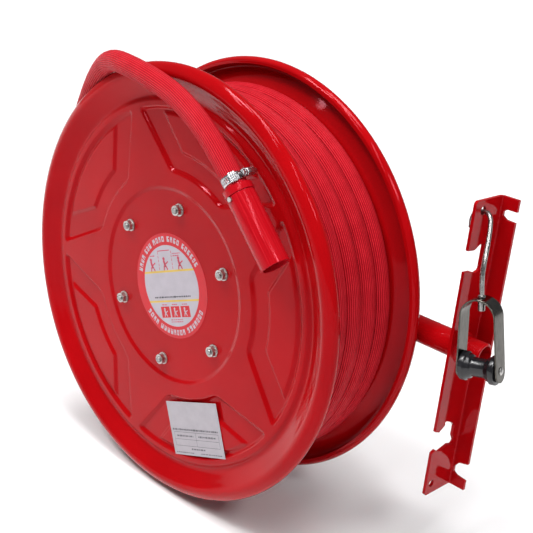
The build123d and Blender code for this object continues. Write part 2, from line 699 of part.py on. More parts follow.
# ---------------------------------------------------------------- wall bracket
UPPER_NOTCH = [(-62, 131), (-45, 129.5), (-35, 135), (-26, 135), (-26, 101.5), (-34, 99), (-45, 103), (-62, 104.5)]
LOWER_NOTCH = [
    (-64, -107),
    (-50, -112),
    (-38.5, -105),
    (-42.5, -98),
    (-24, -106),
    (-17, -113),
    (-17, -127),
    (-11.5, -136),
    (-15, -140),
    (-24, -138),
    (-42, -142),
    (-51, -137),
    (-64, -142),
]
TOP_SLOT = [(14, 162.5), (-1.5, 163.5), (-7, 167), (-7, 172.5), (-2, 176), (14, 176)]
BOTTOM_SLOT = [(14, -163.5), (-2, -167.5), (-8.5, -176), (-8.5, -183.5), (-3, -187), (14, -189)]
ROD_HOLE = (-41.5, 178.0)
LOWER_HOLE = (-47.0, -187.0)
SIDE = Plane(origin=(SIDE_FLANGE_X - PLATE, 0, 0), x_dir=(0, 1, 0), z_dir=(1, 0, 0))
WALL = Plane(origin=(0, 0, 0), x_dir=(1, 0, 0), z_dir=(0, -1, 0))

with BuildPart() as wall_bracket:
    with BuildSketch(Plane.XY.offset(BRACKET_BOTTOM)) as angle_section:
        with BuildLine():
            Polyline(
                (SIDE_FLANGE_X - PLATE, 0),
                (WALL_FLANGE_END, 0),
                (WALL_FLANGE_END, -PLATE),
                (SIDE_FLANGE_X, -PLATE),
                (SIDE_FLANGE_X, -SIDE_FLANGE_DEPTH),
                (SIDE_FLANGE_X - PLATE, -SIDE_FLANGE_DEPTH),
                close=True,
            )
        make_face()
        corners = angle_section.vertices()
        fillet(corners.sort_by_distance((SIDE_FLANGE_X, -PLATE, BRACKET_BOTTOM))[0], 2)
        fillet(angle_section.vertices().sort_by_distance((SIDE_FLANGE_X - PLATE, 0, BRACKET_BOTTOM))[0], 5)
    extrude(amount=BRACKET_TOP - BRACKET_BOTTOM)
    free_ends = wall_bracket.edges().filter_by(Axis.X).group_by(Axis.Y)[0]
    fillet(free_ends, 5)
    for outline, rounding in ((UPPER_NOTCH, 3), (LOWER_NOTCH, 2)):
        with BuildSketch(SIDE) as notch:
            with BuildLine():
                Polyline(*outline, close=True)
            make_face()
            fillet(notch.vertices().sort_by(Axis.X)[2:], rounding)
        extrude(amount=PLATE, mode=Mode.SUBTRACT)
    for outline in (TOP_SLOT, BOTTOM_SLOT):
        with BuildSketch(WALL) as slot:
            with BuildLine():
                Polyline(*outline, close=True)
            make_face()
            fillet(slot.vertices().sort_by(Axis.X)[:-2], 2)
        extrude(amount=PLATE, mode=Mode.SUBTRACT)
    with BuildSketch(SIDE):
        with Locations(ROD_HOLE):
            Circle(5.5)
        with Locations(LOWER_HOLE):
            Circle(5)
        with Locations((PIPE_Y, 0)):
            Circle(PIPE_R + 0.1)
    extrude(amount=PLATE, mode=Mode.SUBTRACT)
wall_bracket.part.label = "wall_bracket"
export_step(wall_bracket.part, "parts/wall_bracket.step")

with BuildPart() as pipe_weld:
    for plane_x, step in ((SIDE_FLANGE_X, 1), (SIDE_FLANGE_X - PLATE, -1)):
        with BuildSketch(Plane(origin=(plane_x, PIPE_Y, 0), x_dir=(0, 1, 0), z_dir=(step, 0, 0))):
            Circle(PIPE_R + 3.4)
        extrude(amount=3.4, taper=44)
    with BuildSketch(Plane(origin=(SIDE_FLANGE_X - PLATE - 5, PIPE_Y, 0), x_dir=(0, 1, 0), z_dir=(1, 0, 0))):
        Circle(PIPE_R + 0.02)
    extrude(amount=PLATE + 10, mode=Mode.SUBTRACT)
pipe_weld.part.label = "pipe_weld"
export_step(pipe_weld.part, "parts/pipe_weld.step")

# ---------------------------------------------------------------- hose guide
ROD_PATH = [
    (-24.0, -41.5, 154.0),
    (-24.5, -41.5, 165.0),
    (-21.0, -41.5, 173.0),
    (-13.3, -41.5, 176.5),
    (-5.0, -43.0, 177.5),
    (2.0, -46.5, 174.5),
    (7.0, -51.0, 166.0),
    (14.5, -62.0, 148.0),
    (20.5, -72.5, 132.0),
    (23.6, -77.0, 119.0),
    (26.0, -78.0, 106.3),
    (28.7, -78.0, 91.5),
    (30.3, -78.0, 82.7),
]
ROD_END = Plane(STRAP_FRAME * Pos(0, 0, -STRAP_SHEET - 0.7))

with BuildPart() as guide_rod:
    with BuildLine():
        rod_line = Spline(*ROD_PATH)
    with BuildSketch(Plane(origin=rod_line @ 0, z_dir=rod_line % 0)):
        Circle(ROD_R)
    sweep()
    # swaged head below the strap and a collar above it
    with BuildSketch(ROD_END):
        Circle(4.2)
    extrude(amount=-13)
    with BuildSketch(Plane(STRAP_FRAME * Pos(0, 0, 0.2))):
        Circle(4.6)
    extrude(amount=3, taper=20)
guide_rod.part.label = "guide_rod"
export_step(guide_rod.part, "parts/guide_rod.step")

FLARE = tan(radians(STRAP_FLARE))
LEG_FOOT = STRAP_ARC_R + (STRAP_LENGTH - STRAP_ARC_R) * FLARE
STRAP_PLANE = Plane(STRAP_FRAME * Rot(X=90))

with BuildPart() as guide_strap:
    with BuildSketch(STRAP_PLANE):
        with BuildLine():
            bow = ThreePointArc((-STRAP_ARC_R, -STRAP_ARC_R), (0, 0), (STRAP_ARC_R, -STRAP_ARC_R))
            Line(bow @ 1, (LEG_FOOT, -STRAP_LENGTH))
            Line((LEG_FOOT, -STRAP_LENGTH), (LEG_FOOT - STRAP_SHEET, -STRAP_LENGTH))
            Line((LEG_FOOT - STRAP_SHEET, -STRAP_LENGTH), (STRAP_ARC_R - STRAP_SHEET, -STRAP_ARC_R))
            ThreePointArc(
                (STRAP_ARC_R - STRAP_SHEET, -STRAP_ARC_R),
                (0, -STRAP_SHEET),
                (STRAP_SHEET - STRAP_ARC_R, -STRAP_ARC_R),
            )
            Line((STRAP_SHEET - STRAP_ARC_R, -STRAP_ARC_R), (STRAP_SHEET - LEG_FOOT, -STRAP_LENGTH))
            Line((STRAP_SHEET - LEG_FOOT, -STRAP_LENGTH), (-LEG_FOOT, -STRAP_LENGTH))
            Line((-LEG_FOOT, -STRAP_LENGTH), bow @ 0)
        make_face()
    extrude(amount=STRAP_WIDTH / 2, both=True)
    # rounded feet
    with BuildSketch(Plane(STRAP_FRAME * Rot(Y=90))):
        with Locations((STRAP_LENGTH - STRAP_WIDTH / 2, 0)):
            Rectangle(STRAP_WIDTH + 0.02, STRAP_WIDTH + 0.02, align=(Align.MIN, Align.CENTER))
            Circle(STRAP_WIDTH / 2, mode=Mode.SUBTRACT)
    extrude(amount=LEG_FOOT + 5, both=True, mode=Mode.SUBTRACT)
    with BuildSketch(Plane(STRAP_FRAME)):
        Circle(ROD_R + 0.08)
    extrude(amount=5, both=True, mode=Mode.SUBTRACT)
    with BuildSketch(Plane(STRAP_FRAME * Pos(0, 0, -PIN_DROP) * Rot(Y=90))):
        Circle(PIN_R + 0.02)
    extrude(amount=LEG_FOOT + 5, both=True, mode=Mode.SUBTRACT)
guide_strap.part.label = "guide_strap"
export_step(guide_strap.part, "parts/guide_strap.step")

PIN_HALF = STRAP_ARC_R + (PIN_DROP - STRAP_ARC_R) * FLARE
PIN_PLANE = Plane(STRAP_FRAME * Pos(0, 0, -PIN_DROP) * Rot(Y=90))

with BuildPart() as roller_pin:
    with BuildSketch(PIN_PLANE):
        Circle(PIN_R)
    extrude(amount=PIN_HALF + 0.8, both=True)
    for side in (PIN_PLANE.offset(PIN_HALF + 0.5), PIN_PLANE.offset(-PIN_HALF - 2.3)):
        with BuildSketch(side):
            Circle(4.8)
        extrude(amount=1.8)
roller_pin.part.label = "roller_pin"
export_step(roller_pin.part, "parts/roller_pin.step")

ROLLER_HALF = PIN_HALF - STRAP_SHEET - 0.9
ROLLER_SECTION = Plane(STRAP_FRAME * Pos(0, 0, -PIN_DROP))
ROLLER_SIDE = [
    (-ROLLER_HALF, PIN_R + 0.08),
    (-ROLLER_HALF, 16.2),
    (-ROLLER_HALF + 1.2, 17.4),
    (-ROLLER_HALF + 7.0, 17.4),
    (-ROLLER_HALF + 8.5, 15.4),
    (-ROLLER_HALF + 12.5, 13.8),
    (-ROLLER_HALF + 14.0, 11.4),
]

with BuildPart() as guide_roller:
    with BuildSketch(ROLLER_SECTION):
        with BuildLine():
            Polyline(
                *ROLLER_SIDE,
                *[(-along, radius) for along, radius in reversed(ROLLER_SIDE)],
                close=True,
            )
        make_face()
    revolve(axis=Axis(ROLLER_SECTION.origin, ROLLER_SECTION.x_dir))
guide_roller.part.label = "guide_roller"
export_step(guide_roller.part, "parts/guide_roller.step")
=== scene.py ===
"""Looks of the wall-mounted fire hose reel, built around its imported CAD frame. Metres."""

import json
import random
from math import cos, pi, radians, sin, sqrt, tan

import bpy
import numpy as np
from mathutils import Matrix, Quaternion, Vector


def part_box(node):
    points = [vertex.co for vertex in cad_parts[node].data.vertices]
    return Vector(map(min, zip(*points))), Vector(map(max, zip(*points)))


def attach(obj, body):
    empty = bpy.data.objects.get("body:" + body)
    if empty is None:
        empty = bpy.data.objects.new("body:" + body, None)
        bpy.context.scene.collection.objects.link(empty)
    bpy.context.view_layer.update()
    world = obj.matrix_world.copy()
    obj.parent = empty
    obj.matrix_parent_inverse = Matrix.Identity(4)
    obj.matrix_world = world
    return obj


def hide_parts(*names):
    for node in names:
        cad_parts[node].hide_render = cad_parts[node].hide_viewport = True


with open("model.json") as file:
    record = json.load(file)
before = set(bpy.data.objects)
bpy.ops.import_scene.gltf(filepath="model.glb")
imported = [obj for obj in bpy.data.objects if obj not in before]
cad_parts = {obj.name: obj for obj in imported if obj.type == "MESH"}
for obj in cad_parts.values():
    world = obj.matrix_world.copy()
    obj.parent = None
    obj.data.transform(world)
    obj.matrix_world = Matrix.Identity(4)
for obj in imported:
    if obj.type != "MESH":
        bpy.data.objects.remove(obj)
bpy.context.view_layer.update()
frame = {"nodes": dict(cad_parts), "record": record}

# ------------------------------------------------------------------ places and sizes
REEL_X = -0.350
FRONT_RIM_Y = -0.212
REAR_RIM_Y = -0.063
MID_Y = (FRONT_RIM_Y + REAR_RIM_Y) / 2
SHEET = 0.0012  # thickness of the side discs
HUB_HEIGHT = -0.0015  # outer face of the hub recess, from the rim plane
FLAT_HEIGHT = 0.001  # outer face of the flat between hub recess and rim

HOSE_RADIUS = 0.014
HOSE_RIBS = 34  # around the hose
TURN_PITCH = 0.0276
LAYER_RISE = 0.0232
OUTER_TURN_R = 0.243
LAYER_TURNS = [4, 5, 4, 5, 4, 4]  # from the drum outwards
HOSE_START = (-0.4319, -0.1789, -0.0984)
FREE_ROUTE = [
    (-0.5862, -0.1934, -0.0633),
    (-0.6090, -0.1890, 0.0227),
    (-0.6065, -0.1840, 0.1196),
    (-0.5785, -0.1900, 0.1890),
    (-0.5338, -0.2050, 0.2440),
    (-0.4836, -0.2245, 0.2740),
    (-0.4239, -0.2390, 0.2758),
    (-0.3688, -0.2430, 0.2693),
    (-0.3200, -0.2425, 0.2555),
    (-0.2591, -0.2420, 0.2195),
    (-0.2150, -0.2420, 0.1760),
]

NOZZLE_START = Vector(FREE_ROUTE[-1])
NOZZLE_DIR = (NOZZLE_START - Vector(FREE_ROUTE[-2])).normalized()

STRAP_FRAME = (
    Matrix.Translation((0.0287, -0.078, 0.0915))
    @ Matrix.Rotation(radians(-10.3), 4, "Y")
    @ Matrix.Rotation(radians(9.0), 4, "Z")
)
STRAP_ARC_R = 0.022
STRAP_LENGTH = 0.098
STRAP_SHEET = 0.002
STRAP_WIDTH = 0.025
STRAP_FLARE = tan(radians(3.0))
PIN_DROP = 0.084  # roller pin below the top of the strap
ROD_R = 0.00275
ROD_PATH = [
    (-0.0240, -0.0415, 0.1540),
    (-0.0245, -0.0415, 0.1650),
    (-0.0210, -0.0415, 0.1730),
    (-0.0133, -0.0415, 0.1765),
    (-0.0050, -0.0430, 0.1775),
    (0.0020, -0.0465, 0.1745),
    (0.0070, -0.0510, 0.1660),
    (0.0145, -0.0620, 0.1480),
    (0.0205, -0.0725, 0.1320),
    (0.0236, -0.0770, 0.1190),
    (0.0260, -0.0780, 0.1063),
    (0.0287, -0.0780, 0.0915),
    (0.0303, -0.0780, 0.0827),
]

# ------------------------------------------------------------------ camera


def make_camera():
    """Camera at the photograph's angle."""
    azimuth, elevation, roll = radians(42.685), radians(20.390), radians(6.188)
    back = Vector((sin(azimuth) * cos(elevation), -cos(azimuth) * cos(elevation), sin(elevation)))
    camera = bpy.data.objects.new("camera", bpy.data.cameras.new("camera"))
    bpy.context.scene.collection.objects.link(camera)
    camera.data.sensor_width = 36
    camera.data.lens = 70.21
    camera.data.clip_start = 0.05
    camera.location = (0.5959, -1.0573, 0.5112)
    camera.rotation_mode = "QUATERNION"
    camera.rotation_quaternion = (-back).to_track_quat("-Z", "Y") @ Quaternion((0, 0, 1), roll)
    bpy.context.scene.camera = camera


make_camera()

# ------------------------------------------------------------------ material helpers
RED_SHEEN = (1.0, 0.30, 0.38, 1.0)  # tint of the highlights on red paint and plastic


class Nodes:
    """A Principled material being built, with short calls for the nodes it uses."""

    def __init__(self, name, **constants):
        self.material = bpy.data.materials.new(name)
        self.material.use_nodes = True
        self.tree = self.material.node_tree
        self.shader = self.tree.nodes["Principled BSDF"]
        for key, value in constants.items():
            self.shader.inputs[key.replace("_", " ")].default_value = value
        coordinates = self.tree.nodes.new("ShaderNodeTexCoord")
        self.place = coordinates.outputs["Object"]
        self.uv = coordinates.outputs["UV"]

    def link(self, source, target):
        self.tree.links.new(source, target)

    def noise(self, scale, detail=3.0, roughness=0.55, source=None, stretch=None):
        """Noise as a 0 to 1 value; scale is features per metre."""
        made = self.tree.nodes.new("ShaderNodeTexNoise")
        made.inputs["Scale"].default_value = scale
        made.inputs["Detail"].default_value = detail
        made.inputs["Roughness"].default_value = roughness
        start = source or self.place
        if stretch:
            mapping = self.tree.nodes.new("ShaderNodeMapping")
            mapping.inputs["Scale"].default_value = stretch
            self.link(start, mapping.inputs["Vector"])
            start = mapping.outputs["Vector"]
        self.link(start, made.inputs["Vector"])
        return made.outputs["Fac"]

    def ramp(self, value, stops):
        """Colour ramp through (position, colour) stops."""
        made = self.tree.nodes.new("ShaderNodeValToRGB")
        elements = made.color_ramp.elements
        while len(elements) < len(stops):
            elements.new(0.5)
        for element, (position, colour) in zip(elements, stops):
            element.position = position
            element.color = (*colour, 1.0)
        self.link(value, made.inputs["Fac"])
        return made.outputs["Color"]

    def spread(self, value, low, high):
        """Noise mapped from its usual range to low..high."""
        made = self.tree.nodes.new("ShaderNodeMapRange")
        for key, number in (("From Min", 0.3), ("From Max", 0.7), ("To Min", low), ("To Max", high)):
            made.inputs[key].default_value = number
        self.link(value, made.inputs["Value"])
        return made.outputs["Result"]

    def maths(self, operation, first, second=0.0, third=None):
        made = self.tree.nodes.new("ShaderNodeMath")
        made.operation = operation
        for socket, value in zip(made.inputs, (first, second, third)):
            if value is None:
                continue
            if isinstance(value, (int, float)):
                socket.default_value = value
            else:
                self.link(value, socket)
        return made.outputs["Value"]

    def bump(self, height, strength, distance, after=None):
        made = self.tree.nodes.new("ShaderNodeBump")
        made.inputs["Strength"].default_value = strength
        made.inputs["Distance"].default_value = distance
        self.link(height, made.inputs["Height"])
        if after:
            self.link(after, made.inputs["Normal"])
        return made.outputs["Normal"]

    def round_edges(self, radius):
        made = self.tree.nodes.new("ShaderNodeBevel")
        made.inputs["Radius"].default_value = radius
        return made.outputs["Normal"]

    def colour(self, socket):
        self.link(socket, self.shader.inputs["Base Color"])

    def rough(self, socket):
        self.link(socket, self.shader.inputs["Roughness"])

    def normal(self, socket):
        self.link(socket, self.shader.inputs["Normal"])


def paint_material(name, dark, light, edge_radius):
    """Gloss enamel, slightly cloudy, with a faint orange peel and a fine grain."""
    made = Nodes(name, Specular_IOR_Level=0.22, Specular_Tint=RED_SHEEN)
    cloud = made.noise(9.0, 4.0)
    made.colour(made.ramp(cloud, [(0.32, dark), (0.68, light)]))
    made.rough(made.spread(made.noise(35.0, 5.0, 0.65), 0.05, 0.11))
    edges = made.round_edges(edge_radius)
    waves = made.bump(made.noise(260.0, 2.0), 0.022, 0.0004, edges)
    made.normal(made.bump(made.noise(1900.0, 2.0), 0.02, 0.0001, waves))
    return made.material


def metal_material(name, dark, light, rough_low, rough_high, stretch=None, edge_radius=0.0003):
    """Bare or plated metal with brushed or mottled tone."""
    made = Nodes(name, Metallic=1.0)
    tone = made.noise(420.0, 4.0, 0.6, stretch=stretch)
    made.colour(made.ramp(tone, [(0.3, dark), (0.7, light)]))
    made.rough(made.spread(made.noise(150.0, 4.0, 0.6, stretch=stretch), rough_low, rough_high))
    made.normal(made.bump(tone, 0.12, 0.0001, made.round_edges(edge_radius)))
    return made.material


def plastic_material(name, dark, light, rough_low, rough_high):
    """Moulded plastic or rubber with a fine grain."""
    made = Nodes(name)
    made.colour(made.ramp(made.noise(60.0, 4.0), [(0.3, dark), (0.7, light)]))
    made.rough(made.spread(made.noise(240.0, 4.0), rough_low, rough_high))
    made.normal(made.bump(made.noise(900.0, 3.0), 0.12, 0.0001, made.round_edges(0.0003)))
    return made.material


def hose_material():
    """Red hose cover with fine ribs along its length, with painted light and shade: rib tops painted
    lighter and grooves darker; U goes from 0 to 1 around the hose.
    """
    made = Nodes("hose_rubber", Specular_IOR_Level=0.15, Specular_Tint=RED_SHEEN)
    split = made.tree.nodes.new("ShaderNodeSeparateXYZ")
    made.link(made.uv, split.inputs["Vector"])
    ribs = made.maths("SINE", made.maths("MULTIPLY", split.outputs["X"], 2 * pi * HOSE_RIBS))
    mottle = made.maths("MULTIPLY", made.noise(40.0, 5.0, 0.6), 0.30)
    # Painted light and shade: the rib wave lights the rib tops and darkens the grooves; the mottle is a
    # random tone.
    shade = made.maths("ADD", made.maths("MULTIPLY_ADD", ribs, 0.24, 0.35), mottle)
    stops = [(0.20, (0.22, 0.002, 0.005)), (0.50, (0.44, 0.006, 0.013)), (0.78, (0.62, 0.024, 0.038))]
    made.colour(made.ramp(shade, stops))
    made.rough(made.spread(made.noise(90.0, 4.0), 0.34, 0.50))
    grain = made.bump(made.noise(1500.0, 3.0), 0.15, 0.0002)
    made.normal(made.bump(ribs, 0.8, 0.0005, grain))
    return made.material


def nozzle_material():
    """Extruded plastic with faint streaks along the nozzle."""
    made = Nodes("nozzle_plastic", Specular_IOR_Level=0.28, Specular_Tint=RED_SHEEN)
    split = made.tree.nodes.new("ShaderNodeSeparateXYZ")
    made.link(made.uv, split.inputs["Vector"])
    joined = made.tree.nodes.new("ShaderNodeCombineXYZ")
    made.link(made.maths("MULTIPLY", split.outputs["X"], 70.0), joined.inputs["X"])
    made.link(made.maths("MULTIPLY", split.outputs["Y"], 9.0), joined.inputs["Y"])
    streaks = made.noise(1.0, 4.0, 0.6, source=joined.outputs["Vector"])
    stops = [(0.30, (0.28, 0.002, 0.005)), (0.55, (0.39, 0.004, 0.009)), (0.72, (0.50, 0.022, 0.032))]
    made.colour(made.ramp(streaks, stops))
    made.rough(made.spread(streaks, 0.08, 0.16))
    made.normal(made.bump(streaks, 0.18, 0.0003))
    return made.material


def label_material(name, colour, shade):
    """Printed film, slightly uneven."""
    made = Nodes(name, Specular_IOR_Level=0.35)
    made.colour(made.ramp(made.noise(70.0, 4.0), [(0.3, shade), (0.7, colour)]))
    made.rough(made.spread(made.noise(300.0, 3.0), 0.30, 0.42))
    made.normal(made.bump(made.noise(220.0, 3.0), 0.06, 0.0002))
    return made.material


# dark tone, light tone, lowest and highest roughness
METALS = {
    "galvanised": ((0.28, 0.27, 0.26), (0.62, 0.61, 0.59), 0.22, 0.42),
    "plain_steel": ((0.36, 0.36, 0.37), (0.66, 0.66, 0.68), 0.18, 0.34),
    "brass": ((0.45, 0.30, 0.11), (0.74, 0.56, 0.27), 0.22, 0.40),
}
PLASTICS = {
    "black_plastic": ((0.004, 0.004, 0.005), (0.012, 0.012, 0.014), 0.12, 0.26),
    "black_rubber": ((0.006, 0.006, 0.006), (0.018, 0.018, 0.018), 0.55, 0.75),
    "bush_plastic": ((0.55, 0.52, 0.44), (0.72, 0.69, 0.60), 0.40, 0.60),
}


def make_materials():
    """One material for every slot in the record."""
    made = {
        "red_paint": paint_material("red_paint", (0.30, 0.0012, 0.0026), (0.36, 0.0019, 0.0036), 0.0006),
        "hose_rubber": hose_material(),
        "nozzle_plastic": nozzle_material(),
        "printed_sheet": label_material("printed_sheet", (0.62, 0.60, 0.62), (0.52, 0.50, 0.54)),
    }
    for name, looks in METALS.items():
        made[name] = metal_material(name, *looks)
    for name, looks in PLASTICS.items():
        made[name] = plastic_material(name, *looks)
    return made


MATERIALS = make_materials()
# Painted shade: the strap's steel is made much darker than bare steel, standing in for the dark
# surroundings the strap reflects.
SHADED_STRAP_STEEL = metal_material(
    "shaded_strap_steel",
    (0.045, 0.041, 0.035),
    (0.125, 0.115, 0.10),
    0.14,
    0.28,
    stretch=(1.0, 1.0, 0.15),
    edge_radius=0.0004,
)
# A darker steel for the guide rod and the studs; on the studs the darker tone is painted shade that dulls
# their lit ends.
ROD_STEEL_AND_STUD_SHADE = metal_material("rod_steel_and_stud_shade", (0.17, 0.165, 0.16), (0.40, 0.39, 0.38), 0.20, 0.36)
PRINT_RED = label_material("print_red", (0.50, 0.002, 0.011), (0.45, 0.002, 0.009))
PRINT_PALE = label_material("print_pale", (0.41, 0.375, 0.42), (0.37, 0.34, 0.38))
PRINT_YELLOW = label_material("print_yellow", (0.58, 0.40, 0.07), (0.52, 0.35, 0.06))
PRINT_INK = label_material("print_ink", (0.09, 0.08, 0.09), (0.05, 0.05, 0.06))
PRINT_PINK = label_material("print_pink", (0.50, 0.045, 0.085), (0.42, 0.030, 0.065))
PRINT_GREY = label_material("print_grey", (0.13, 0.12, 0.14), (0.08, 0.08, 0.09))
PRINT_SHEET = label_material("print_sheet", (0.37, 0.345, 0.375), (0.33, 0.31, 0.335))


def paint_cad_nodes():
    """Every CAD node takes the material of its record slot, and the round label its red."""
    for entry in frame["record"]["subparts"]:
        node = frame["nodes"][entry["node"]]
        node.data.materials.clear()
        node.data.materials.append(MATERIALS[entry["material_slot"]])
    frame["nodes"]["hub_label"].data.materials[0] = PRINT_RED


paint_cad_nodes()

# ------------------------------------------------------------------ mesh helpers


def add_mesh(name, vertices, faces, materials, sharp=40):
    """Mesh object with smooth shading up to the sharp angle, in degrees."""
    mesh = bpy.data.meshes.new(name)
    mesh.from_pydata([tuple(v) for v in vertices], [], faces)
    mesh.update()
    for material in materials:
        mesh.materials.append(material)
    mesh.shade_smooth()
    mesh.set_sharp_from_angle(angle=radians(sharp))
    obj = bpy.data.objects.new(name, mesh)
    bpy.context.scene.collection.objects.link(obj)
    return obj


def settle(obj, body, nodes=()):
    """The piece moves with its body and stands for its CAD nodes."""
    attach(obj, body)
    if nodes:
        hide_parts(*nodes)
    return obj


def grid_faces(rows, columns, offset=0):
    """Quads between rows of vertices, each row a closed ring."""
    faces = []
    for i in range(rows - 1):
        for j in range(columns):
            k = (j + 1) % columns
            a = offset + i * columns
            faces.append((a + j, a + k, a + columns + k, a + columns + j))
    return faces


def capped_faces(rows, columns):
    """Quads between rings of vertices, with a flat face on both ends."""
    faces = grid_faces(rows, columns)
    faces.append(tuple(reversed(range(columns))))
    faces.append(tuple((rows - 1) * columns + j for j in range(columns)))
    return faces


def soften(corners, radius):
    """Closed outline with each corner replaced by a small curve."""
    steps = 4
    result = []
    for i, corner in enumerate(corners):
        here = np.array(corner, float)
        back = np.array(corners[i - 1], float) - here
        ahead = np.array(corners[(i + 1) % len(corners)], float) - here
        cut = min(radius, 0.45 * np.linalg.norm(back), 0.45 * np.linalg.norm(ahead))
        start = here + back / np.linalg.norm(back) * cut
        end = here + ahead / np.linalg.norm(ahead) * cut
        for step in range(steps + 1):
            t = step / steps
            result.append((1 - t) ** 2 * start + 2 * t * (1 - t) * here + t * t * end)
    return result


def mirrored(side):
    """Half an outline followed by its mirror image, across the line where the first value is 0."""
    return side + [(-along, height) for along, height in reversed(side)]


def smooth(value):
    """0 to 1 with a soft start and end."""
    value = np.clip(value, 0, 1)
    return value * value * (3 - 2 * value)


def across(direction):
    """Two unit vectors square to direction."""
    side = direction.cross(Vector((0, 1, 0)))
    if side.length < 0.1:
        side = direction.cross(Vector((0, 0, 1)))
    side.normalize()
    return side, direction.cross(side).normalized()


def lathe_parts(profile, origin, direction, sides=96):
    """Vertices and faces of a closed profile of (along, radius) turned about an axis."""
    direction = Vector(direction).normalized()
    side, other = across(direction)
    vertices = []
    for along, radius in profile:
        centre = Vector(origin) + direction * float(along)
        for j in range(sides):
            angle = 2 * pi * j / sides
            vertices.append(centre + (side * cos(angle) + other * sin(angle)) * float(radius))
    faces = grid_faces(len(profile), sides)
    last = (len(profile) - 1) * sides
    for j in range(sides):
        k = (j + 1) % sides
        faces.append((last + j, last + k, k, j))
    return vertices, faces


def join_parts(parts):
    """Vertices and faces of several parts as one list."""
    vertices, faces = [], []
    for part_vertices, part_faces in parts:
        base = len(vertices)
        vertices.extend(part_vertices)
        faces.extend(tuple(base + i for i in face) for face in part_faces)
    return vertices, faces


def wrap_uv(obj, origin, direction):
    """UV with U in turns around an axis and V in metres along it."""
    direction = Vector(direction).normalized()
    side, other = across(direction)
    layer = obj.data.uv_layers.new(name="around_along")
    for polygon in obj.data.polygons:
        base = None
        for loop in polygon.loop_indices:
            place = obj.data.vertices[obj.data.loops[loop].vertex_index].co - Vector(origin)
            turn = np.arctan2(place.dot(other), place.dot(side)) / (2 * pi)
            if base is None:
                base = turn
            turn += round(base - turn)
            layer.data[loop].uv = (turn, place.dot(direction))


def tube_parts(path, radius, sides):
    """Vertices, faces and lengths of a round tube that doesn't twist along its path."""
    path = [Vector(p) for p in path]
    count = len(path)
    lengths = [0.0]
    for a, b in zip(path, path[1:]):
        lengths.append(lengths[-1] + (b - a).length)
    heading = (path[1] - path[0]).normalized()
    side, _ = across(heading)
    vertices = []
    for i, place in enumerate(path):
        ahead = (path[min(i + 1, count - 1)] - path[max(i - 1, 0)]).normalized()
        side = (side - ahead * side.dot(ahead)).normalized()
        other = ahead.cross(side)
        for j in range(sides):
            angle = 2 * pi * j / sides
            vertices.append(place + (side * cos(angle) + other * sin(angle)) * radius)
    return vertices, capped_faces(count, sides), lengths


def catmull(points, steps):
    """Smooth path through every point."""
    points = [np.array(p, float) for p in points]
    points = [2 * points[0] - points[1], *points, 2 * points[-1] - points[-2]]
    result = []
    for a, b, c, d in zip(points, points[1:], points[2:], points[3:]):
        for step in range(steps):
            t = step / steps
            bend = (2 * a - 5 * b + 4 * c - d) * t * t + (3 * b - a - 3 * c + d) * t**3
            result.append(0.5 * (2 * b + (c - a) * t + bend))
    result.append(points[-2])
    return result


# ------------------------------------------------------------------ hose
STEPS_PER_TURN = 24
STEP_ANGLE = 2 * pi / STEPS_PER_TURN
SHIFT_STEPS = 3  # steps over which the hose moves across to its next place
SHIFT_START = radians(-195)
FREE_SHIFT_START = radians(-150)
WOUND_START = radians(-120)
HOSE_SIDES = 24


def turn_places():
    """(radius, y) of every turn, from the drum outwards and to and fro across it."""
    places = []
    for layer, turns in enumerate(LAYER_TURNS):
        radius = OUTER_TURN_R - (len(LAYER_TURNS) - 1 - layer) * LAYER_RISE
        for k in range(turns):
            steps = k - 1.5 if layer % 2 == 0 else 2 - k
            places.append((radius, MID_Y + steps * TURN_PITCH))
    return places


def reel_point(angle, radius, y):
    """Point at an angle from +Z towards +X."""
    return (REEL_X + radius * sin(angle), y, radius * cos(angle))


def wound_points():
    """Control points of the wound hose, at even angles, clockwise seen from the front."""
    places = turn_places()
    reach = 1 / cos(STEP_ANGLE / 2)  # the spline runs inside its control points
    points = [HOSE_START]
    angle = WOUND_START
    end = 2 * pi * len(places) + FREE_SHIFT_START
    while angle < end + 1e-6:
        number = int((angle - SHIFT_START) // (2 * pi))
        share = smooth(((angle - SHIFT_START) % (2 * pi)) / (SHIFT_STEPS * STEP_ANGLE))
        now = places[min(number, len(places) - 1)]
        before = places[max(number - 1, 0)]
        radius = (before[0] + (now[0] - before[0]) * share) * reach
        y = before[1] + (now[1] - before[1]) * share
        points.append(reel_point(angle, radius, y))
        angle += STEP_ANGLE
    # the last turn crosses to the front disc, where the free end leaves it
    last_radius, last_y = places[-1]
    free_y = FREE_ROUTE[0][1]
    for step in range(1, SHIFT_STEPS):
        y = last_y + (free_y - last_y) * smooth(step / SHIFT_STEPS)
        points.append(reel_point(angle, last_radius * reach, y))
        angle += STEP_ANGLE
    return points


def spline_line(points):
    """Close points along the smooth spline that the control points shape."""
    curve = bpy.data.curves.new("hose_line", "CURVE")
    curve.dimensions = "3D"
    curve.resolution_u = 8
    spline = curve.splines.new("NURBS")
    spline.points.add(len(points) - 1)
    for place, point in zip(spline.points, points):
        place.co = (*point, 1.0)
    spline.order_u = 3
    spline.use_endpoint_u = True
    holder = bpy.data.objects.new("hose_line", curve)
    line = bpy.data.meshes.new_from_object(holder)
    path = [v.co.copy() for v in line.vertices]
    bpy.data.objects.remove(holder)
    bpy.data.meshes.remove(line)
    return path


